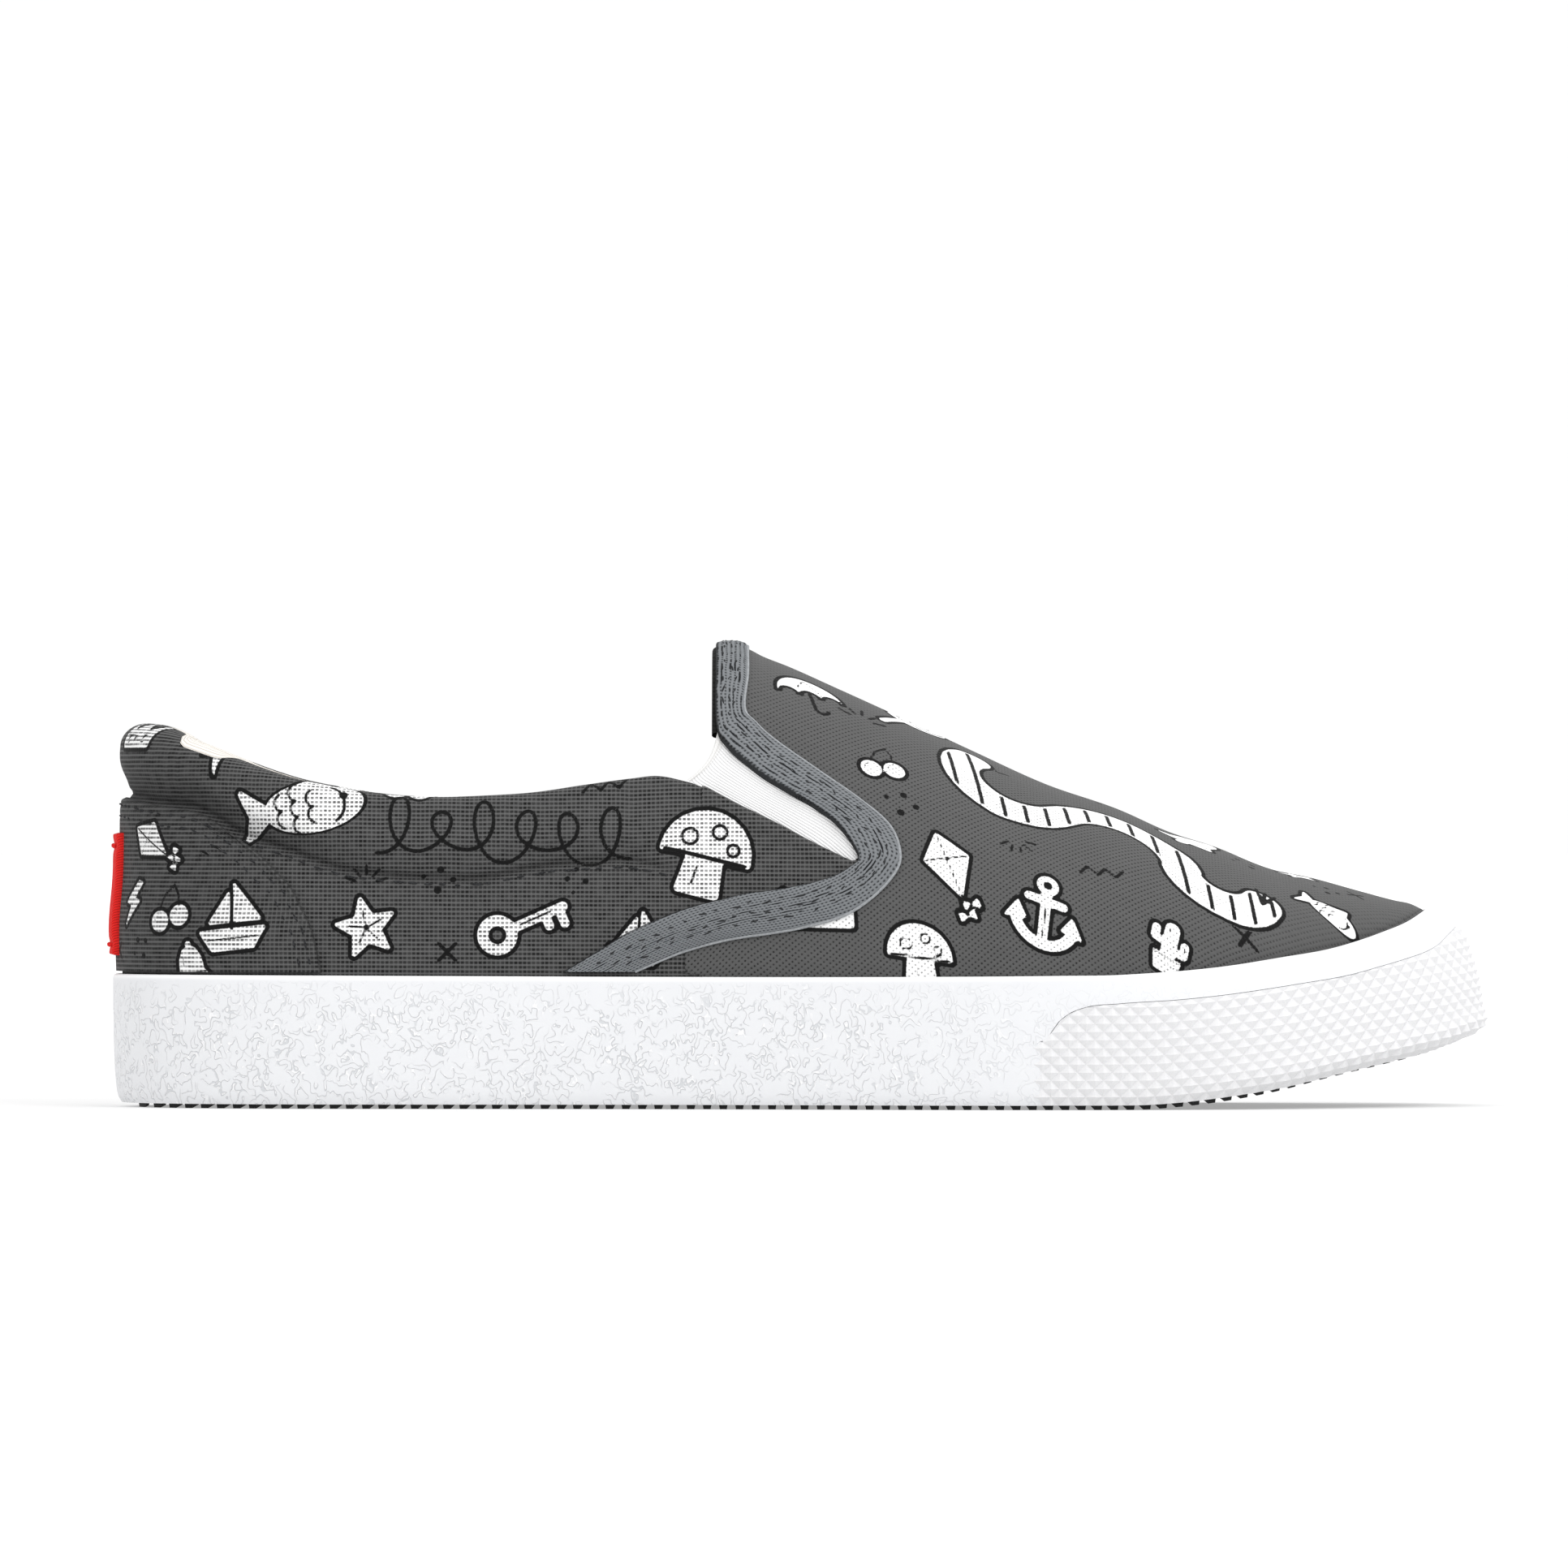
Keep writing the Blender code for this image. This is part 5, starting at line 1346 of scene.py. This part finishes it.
def white_rubber():
    """Foxing: pale rubber with thin crooked wrinkles, each a painted shade line with a painted highlight line
    beside it, that fade near the top edge and toward the toe; a painted highlight lightens the band just
    under the rounded top edge.
    """
    paint = Paint("white_rubber")
    along, up, below = paint.layer("along"), paint.layer("up"), paint.layer("below_top")
    at = paint.join(along, up, 0.0)
    worm = paint.noise(paint.join(along * 1.25, up, 0.0), 0.46, 0.0, 0.5, 0.9) - 0.5
    sparse = paint.noise(paint.join(along, up, 9.0), 0.3, 1.0).step(0.33, 0.5)
    # painted shade: each wrinkle's thin line, darkened toward rgb(206, 208, 211)
    line = (1 - abs(worm).step(0.01, 0.04)) * sparse
    # painted highlight: a light line just beside each wrinkle
    wrinkle_highlight = (1 - abs(worm - 0.055).step(0.01, 0.035)) * sparse
    toeward = abs(along).step(165.0, 225.0)
    fade = (0.5 * below.step(0.8, 2.5) + 0.5 * below.step(2.0, 9.0)) * (1 - 0.7 * toeward)
    grain = paint.noise(at, 3.5, 2.0)
    soft = paint.noise(at, 0.16, 2.0)
    base = paint.mix(soft, rgb(225, 226, 229), rgb(230, 231, 233))
    # painted highlight: lighter band within 1.3 mm below the rounded top edge
    base = paint.mix(1 - below.step(0.3, 1.3), base, rgb(244, 244, 245))
    colour = paint.mix(line * fade, base, rgb(206, 208, 211))
    colour = paint.mix(wrinkle_highlight * fade, colour, rgb(240, 240, 241))
    height = 0.5 - 0.5 * line * fade + 0.3 * wrinkle_highlight * fade + 0.02 * grain
    return paint.finish(colour, 0.42 + 0.14 * grain, height, 0.7, 0.0003)


def toe_rubber():
    """Bumper: white moulded rubber with a fine grain."""
    paint = Paint("toe_rubber")
    grain = paint.noise(paint.place(), 2.2, 3.0)
    colour = paint.mix(grain.step(0.4, 0.75), rgb(226, 226, 227), rgb(221, 221, 223))
    return paint.finish(colour, 0.5 + 0.12 * grain, grain, 0.15, 0.0001)


def black_rubber():
    paint = Paint("black_rubber")
    grain = paint.noise(paint.place(), 1.6, 3.0)
    dust = paint.noise(paint.place(), 0.09, 3.0).step(0.5, 0.75)
    colour = paint.mix(dust * 0.3, rgb(10, 10, 11), rgb(40, 39, 38))
    return paint.finish(colour, 0.62 + 0.2 * grain, grain, 0.4, 0.0002)


def weave(paint, u, v, pitch, joined=0.0, valley=0.6, reach=1.0):
    """Plain weave: height of its threads, and its dark gaps, one in each square of the pitch.

    Where joined is 1 the gaps of a row run together into a line. Valley is the shade between rows, and
    reach the size of the gaps."""
    bars, rows = waves(u, pitch), waves(v, pitch)
    line = 1 - rows.step(0.45 * reach, reach)
    gap = line * (1 - bars.step(0.6 * reach, 1.05 * reach) * (1 - joined))
    gap = gap.most((1 - rows) * valley).most((1 - bars) * valley * 0.4 * (1 - joined))
    return 0.5 * rows.most(bars * 0.8) + 0.25 * (bars + rows), gap


def printed_canvas(name, base, up_ribs=False):
    """Grey canvas with its print: white shapes with black outlines, black marks, and gaps in the weave, with
    painted shade darkening it in the collar seam's groove and, on the heel patch, along its edges.
    """
    paint = Paint(name, Sheen_Weight=0.06, Sheen_Roughness=0.5, Specular_IOR_Level=0.2)
    u, v = (paint.layer(each) for each in (("along", "up") if up_ribs else ("cloth_u", "cloth_v")))
    white, black, painted_shade = paint.layer("white_shape"), paint.layer("black_mark"), paint.layer("painted_shade")
    joined = 0.8 * (1 - abs(u).step(22.0, 62.0))
    threads, gap = weave(paint, u, v, WEAVE, joined, 0.7, 1.15)
    if not up_ribs:
        ahead = paint.layer("ahead")
        plain = u.step(218.0, 262.0).most(1 - abs(v).step(4.0, 34.0))
        fine, fine_gap = weave(paint, (u + v) * 0.7071, (v - u) * 0.7071, WEAVE, 0.0, 0.1, 0.75)
        threads = threads + (fine - threads) * ahead
        gap = gap + (fine_gap * (0.85 - 0.45 * plain) - gap) * ahead
    place = paint.join(u, v, 0.0)
    slub = paint.noise(paint.join(u * 0.12, v * 1.4, 0.0), 1.0, 2.0).step(0.35, 0.7)
    worn = paint.noise(place, 0.5, 3.0).step(0.3, 0.7)
    fray = paint.noise(place, 2.4, 2.0) - 0.5
    low, high = base
    gap = gap * (0.7 + 0.3 * worn)
    cloth = paint.mix(paint.noise(place, 0.06, 3.0) * 0.6 + slub * 0.4, grey(low), grey(high))
    cloth = paint.mix(gap, cloth, grey(11))
    edge = fray * 0.22
    outline = 1 - (white + edge).step(0.8, 0.98)
    inside = 1 - (white + edge).step(-0.1, 0.1)
    mark = 1 - (black + edge).step(-0.1, 0.1)
    ink = paint.mix(gap * 0.6, grey(16), grey(5))
    white_cloth = paint.mix(gap.step(0.35, 1.0) * 0.9, paint.mix(slub, grey(246), grey(238)), grey(40))
    colour = paint.mix(outline, cloth, ink)
    colour = paint.mix(inside, colour, white_cloth)
    colour = paint.mix(mark, colour, ink)
    # painted shade: darkens the cloth toward grey(14) in the seam's groove and along the heel patch's edges
    colour = paint.mix(painted_shade * 0.62, colour, grey(14))
    height = threads * 0.8 - gap * 0.5 + slub * 0.12
    return paint.finish(colour, 0.86 + 0.1 * threads, height, 0.6, 0.0002)


def cream_rib():
    paint = Paint("cream_rib", Sheen_Weight=0.1)
    u, v = paint.layer("cloth_u"), paint.layer("cloth_v")
    ribs, knit = waves(v, 1.0), waves(u, 0.9)
    soft = paint.noise(paint.place(), 0.12, 3.0)
    colour = paint.mix(soft, rgb(226, 221, 214), rgb(240, 237, 232))
    colour = paint.mix(ribs.step(0.0, 0.5), rgb(188, 179, 168), colour)
    return paint.finish(colour, 0.9 + 0.05 * soft, ribs * 0.8 + knit * 0.3, 0.6, 0.0003)


def footbed_cloth():
    paint = Paint("footbed_cloth")
    at = paint.place()
    fuzz = paint.noise(at, 1.4, 4.0)
    soft = paint.noise(at, 0.05, 3.0)
    colour = paint.mix(fuzz * 0.5 + soft * 0.5, rgb(206, 202, 195), rgb(232, 229, 224))
    return paint.finish(colour, 0.92, fuzz, 0.5, 0.0003)


def tape_cloth():
    """Blue-grey tape of yarns laid along it, with dark gaps between them and dark dashes in its middle."""
    paint = Paint("tape_cloth", Specular_IOR_Level=0.2)
    along, across, inner = paint.layer("along"), paint.layer("across"), paint.layer("inner")
    sway = (paint.noise(paint.join(along, across, 5.0), 0.3, 1.0) - 0.5) * 0.5
    rows = waves(across + sway, 0.95)
    beats = waves(along + across * 0.5, 0.9)
    gap = (1 - rows.step(0.3, 0.8)) * (1 - beats.step(0.4, 0.95))
    fuzz = paint.noise(paint.join(along, across, 0.0), 1.3, 2.0)
    streaks = paint.join(along * 0.25, (across + along * 0.08) * 1.3, 2.0)
    dash = paint.noise(streaks, 1.0, 0.0).step(0.58, 0.63)
    dash = dash * (1 - rows.step(0.35, 0.8)) * (1 - abs(across).step(2.4, 4.0))
    dark_edge = 1 - (inner + (fuzz - 0.5) * 0.9).step(0.35, 0.75)
    colour = paint.mix(fuzz, rgb(112, 115, 118), rgb(130, 133, 136))
    colour = paint.mix(gap * 0.85, colour, rgb(34, 37, 40))
    colour = paint.mix(dash, colour, rgb(24, 26, 29))
    colour = paint.mix(dark_edge * 0.9, colour, rgb(16, 17, 19))
    height = rows * 0.6 + beats * 0.25 - gap * 0.3 - dash * 0.4
    return paint.finish(colour, 0.8 + 0.1 * fuzz, height, 0.8, 0.0003)


def elastic_cloth():
    paint = Paint("elastic_cloth", Sheen_Weight=0.05)
    along, across = paint.layer("along"), paint.layer("across")
    ribs = abs((across * (np.pi / GORE_RIB)).math("COSINE"))
    knots = waves(along, 0.5)
    hem = 1 - along.step(1.25, 1.5)
    lines = 1 - abs(abs(along - 1.3) - 0.32).step(0.02, 0.16)
    raised = (ribs * (0.75 + 0.25 * knots)).step(0.05, 0.6)
    colour = paint.mix(raised, rgb(204, 204, 205), rgb(234, 234, 234))
    colour = paint.mix(hem * 0.7, colour, rgb(226, 225, 223))
    colour = paint.mix(lines * 0.5, colour, rgb(190, 189, 187))
    return paint.finish(colour, 0.85 + 0.05 * knots, knots * 0.5 + ribs * 0.5, 0.5, 0.0001)


def label_cloth():
    paint = Paint("label_cloth", Specular_IOR_Level=0.15)
    along, up = paint.layer("along"), paint.layer("up")
    twill = waves(along + up, 0.55)
    fuzz = paint.noise(paint.join(along, up, 0.0), 1.2, 3.0)
    raised = twill.step(0.0, 0.5)
    red = paint.mix(fuzz, rgb(226, 34, 30), rgb(240, 44, 40))
    colour = paint.mix(raised, rgb(150, 18, 16), red)
    return paint.finish(colour, 0.75 + 0.1 * fuzz, twill, 0.6, 0.0002)


def thread(name, levels, dark=0.5):
    """Sewing thread: a colour mottled by noise in Object coordinates."""
    paint = Paint(name, Specular_IOR_Level=0.2)
    fuzz = paint.noise(paint.place(), 1.8, 2.0)
    low = tuple(each * dark for each in rgb(*levels))
    colour = paint.mix(fuzz.step(0.3, 0.7), low, rgb(*levels))
    return paint.finish(colour, 0.75 + 0.1 * fuzz, fuzz, 0.5, 0.0002)


def facing_cloth():
    paint = Paint("black_facing", Specular_IOR_Level=0.2)
    fuzz = paint.noise(paint.place(), 1.5, 3.0)
    rib = waves(paint.node("ShaderNodeSeparateXYZ", None, [paint.place()], "Z"), 0.9)
    return paint.finish(paint.mix(rib * fuzz, grey(8), grey(32)), 0.9, rib, 0.6, 0.0002)


CAMERA_DISTANCE = 4.0
VIEW_WIDTH = 0.3309
CAMERA_X = -0.0034
CAMERA_Z = 0.068
ROOM = 1.01
LIGHTS = (
    ("key", (0.8, -1.4, 1.3), 0.7, 10.5), ("top", (0.2, -0.1, 1.6), 0.8, 5.5),
)


def studio():
    """Pale floor that glows a little, pale surroundings, soft lights, and a long lens square to the side."""
    mesh = bpy.data.meshes.new("floor")
    corners = [(-14, -14, 0), (14, -14, 0), (14, 14, 0), (-14, 14, 0)]
    mesh.from_pydata(corners, [], [(0, 1, 2, 3)])
    paint = Paint("pale_floor", Emission_Strength=0.36)
    at = paint.place()
    away = paint.node("ShaderNodeVectorMath", {"operation": "LENGTH"}, [at], "Value").step(300.0, 1900.0)
    speck = paint.noise(at, 0.02, 2.0) * 0.03
    colour = paint.mix(away - speck, (0.5, 0.5, 0.5), (0.8, 0.8, 0.8))
    mesh.materials.append(paint.finish(colour, 0.9))
    floor = put("floor", mesh)
    world = bpy.data.worlds.new("pale_room")
    world.use_nodes = True
    world.node_tree.nodes["Background"].inputs["Color"].default_value = (1, 1, 1, 1)
    world.node_tree.nodes["Background"].inputs["Strength"].default_value = ROOM
    bpy.context.scene.world = world
    bpy.context.scene.view_settings.view_transform = "Standard"
    for name, place, size, power in LIGHTS:
        light = bpy.data.lights.new(name, "AREA")
        light.shape, light.size, light.energy = "SQUARE", size, power
        put(name, light, place, (-mathutils.Vector(place)).to_track_quat("-Z", "Y").to_euler())
    camera = bpy.data.cameras.new("camera")
    camera.sensor_width, camera.clip_end = 36, 50
    camera.lens = 36 * CAMERA_DISTANCE / VIEW_WIDTH
    eye = put("camera", camera, (CAMERA_X, -CAMERA_DISTANCE, CAMERA_Z), (np.pi / 2, 0, 0))
    bpy.context.scene.camera = eye


def main():
    studio()
    canvas = printed_canvas("canvas", (94, 101))
    foxing(white_rubber())
    toe_bumper(toe_rubber())
    outsole(black_rubber())
    insole(footbed_cloth())
    add_print(quarters(), mirrored(ON_QUARTERS, 5)).build("quarters", canvas, "upper", ["upper"])
    fore_canvas = printed_canvas("fore_canvas", (84, 91))
    add_print(vamp(), [(*row, 1) for row in ON_VAMP]).build("vamp", fore_canvas, "upper", ["upper"])
    lining(cream_rib())
    throat_edge(facing_cloth())
    binding(tape_cloth())
    light_edge(thread("edge_cord", (160, 163, 166), 0.75))
    gores(elastic_cloth())
    heel_counter(printed_canvas("patch_canvas", (92, 101), True))
    heel_tab(label_cloth())
    all_stitches(thread("dark_thread", (52, 53, 55), 0.4))
    tacks(thread("red_thread", (240, 40, 36)))


main()
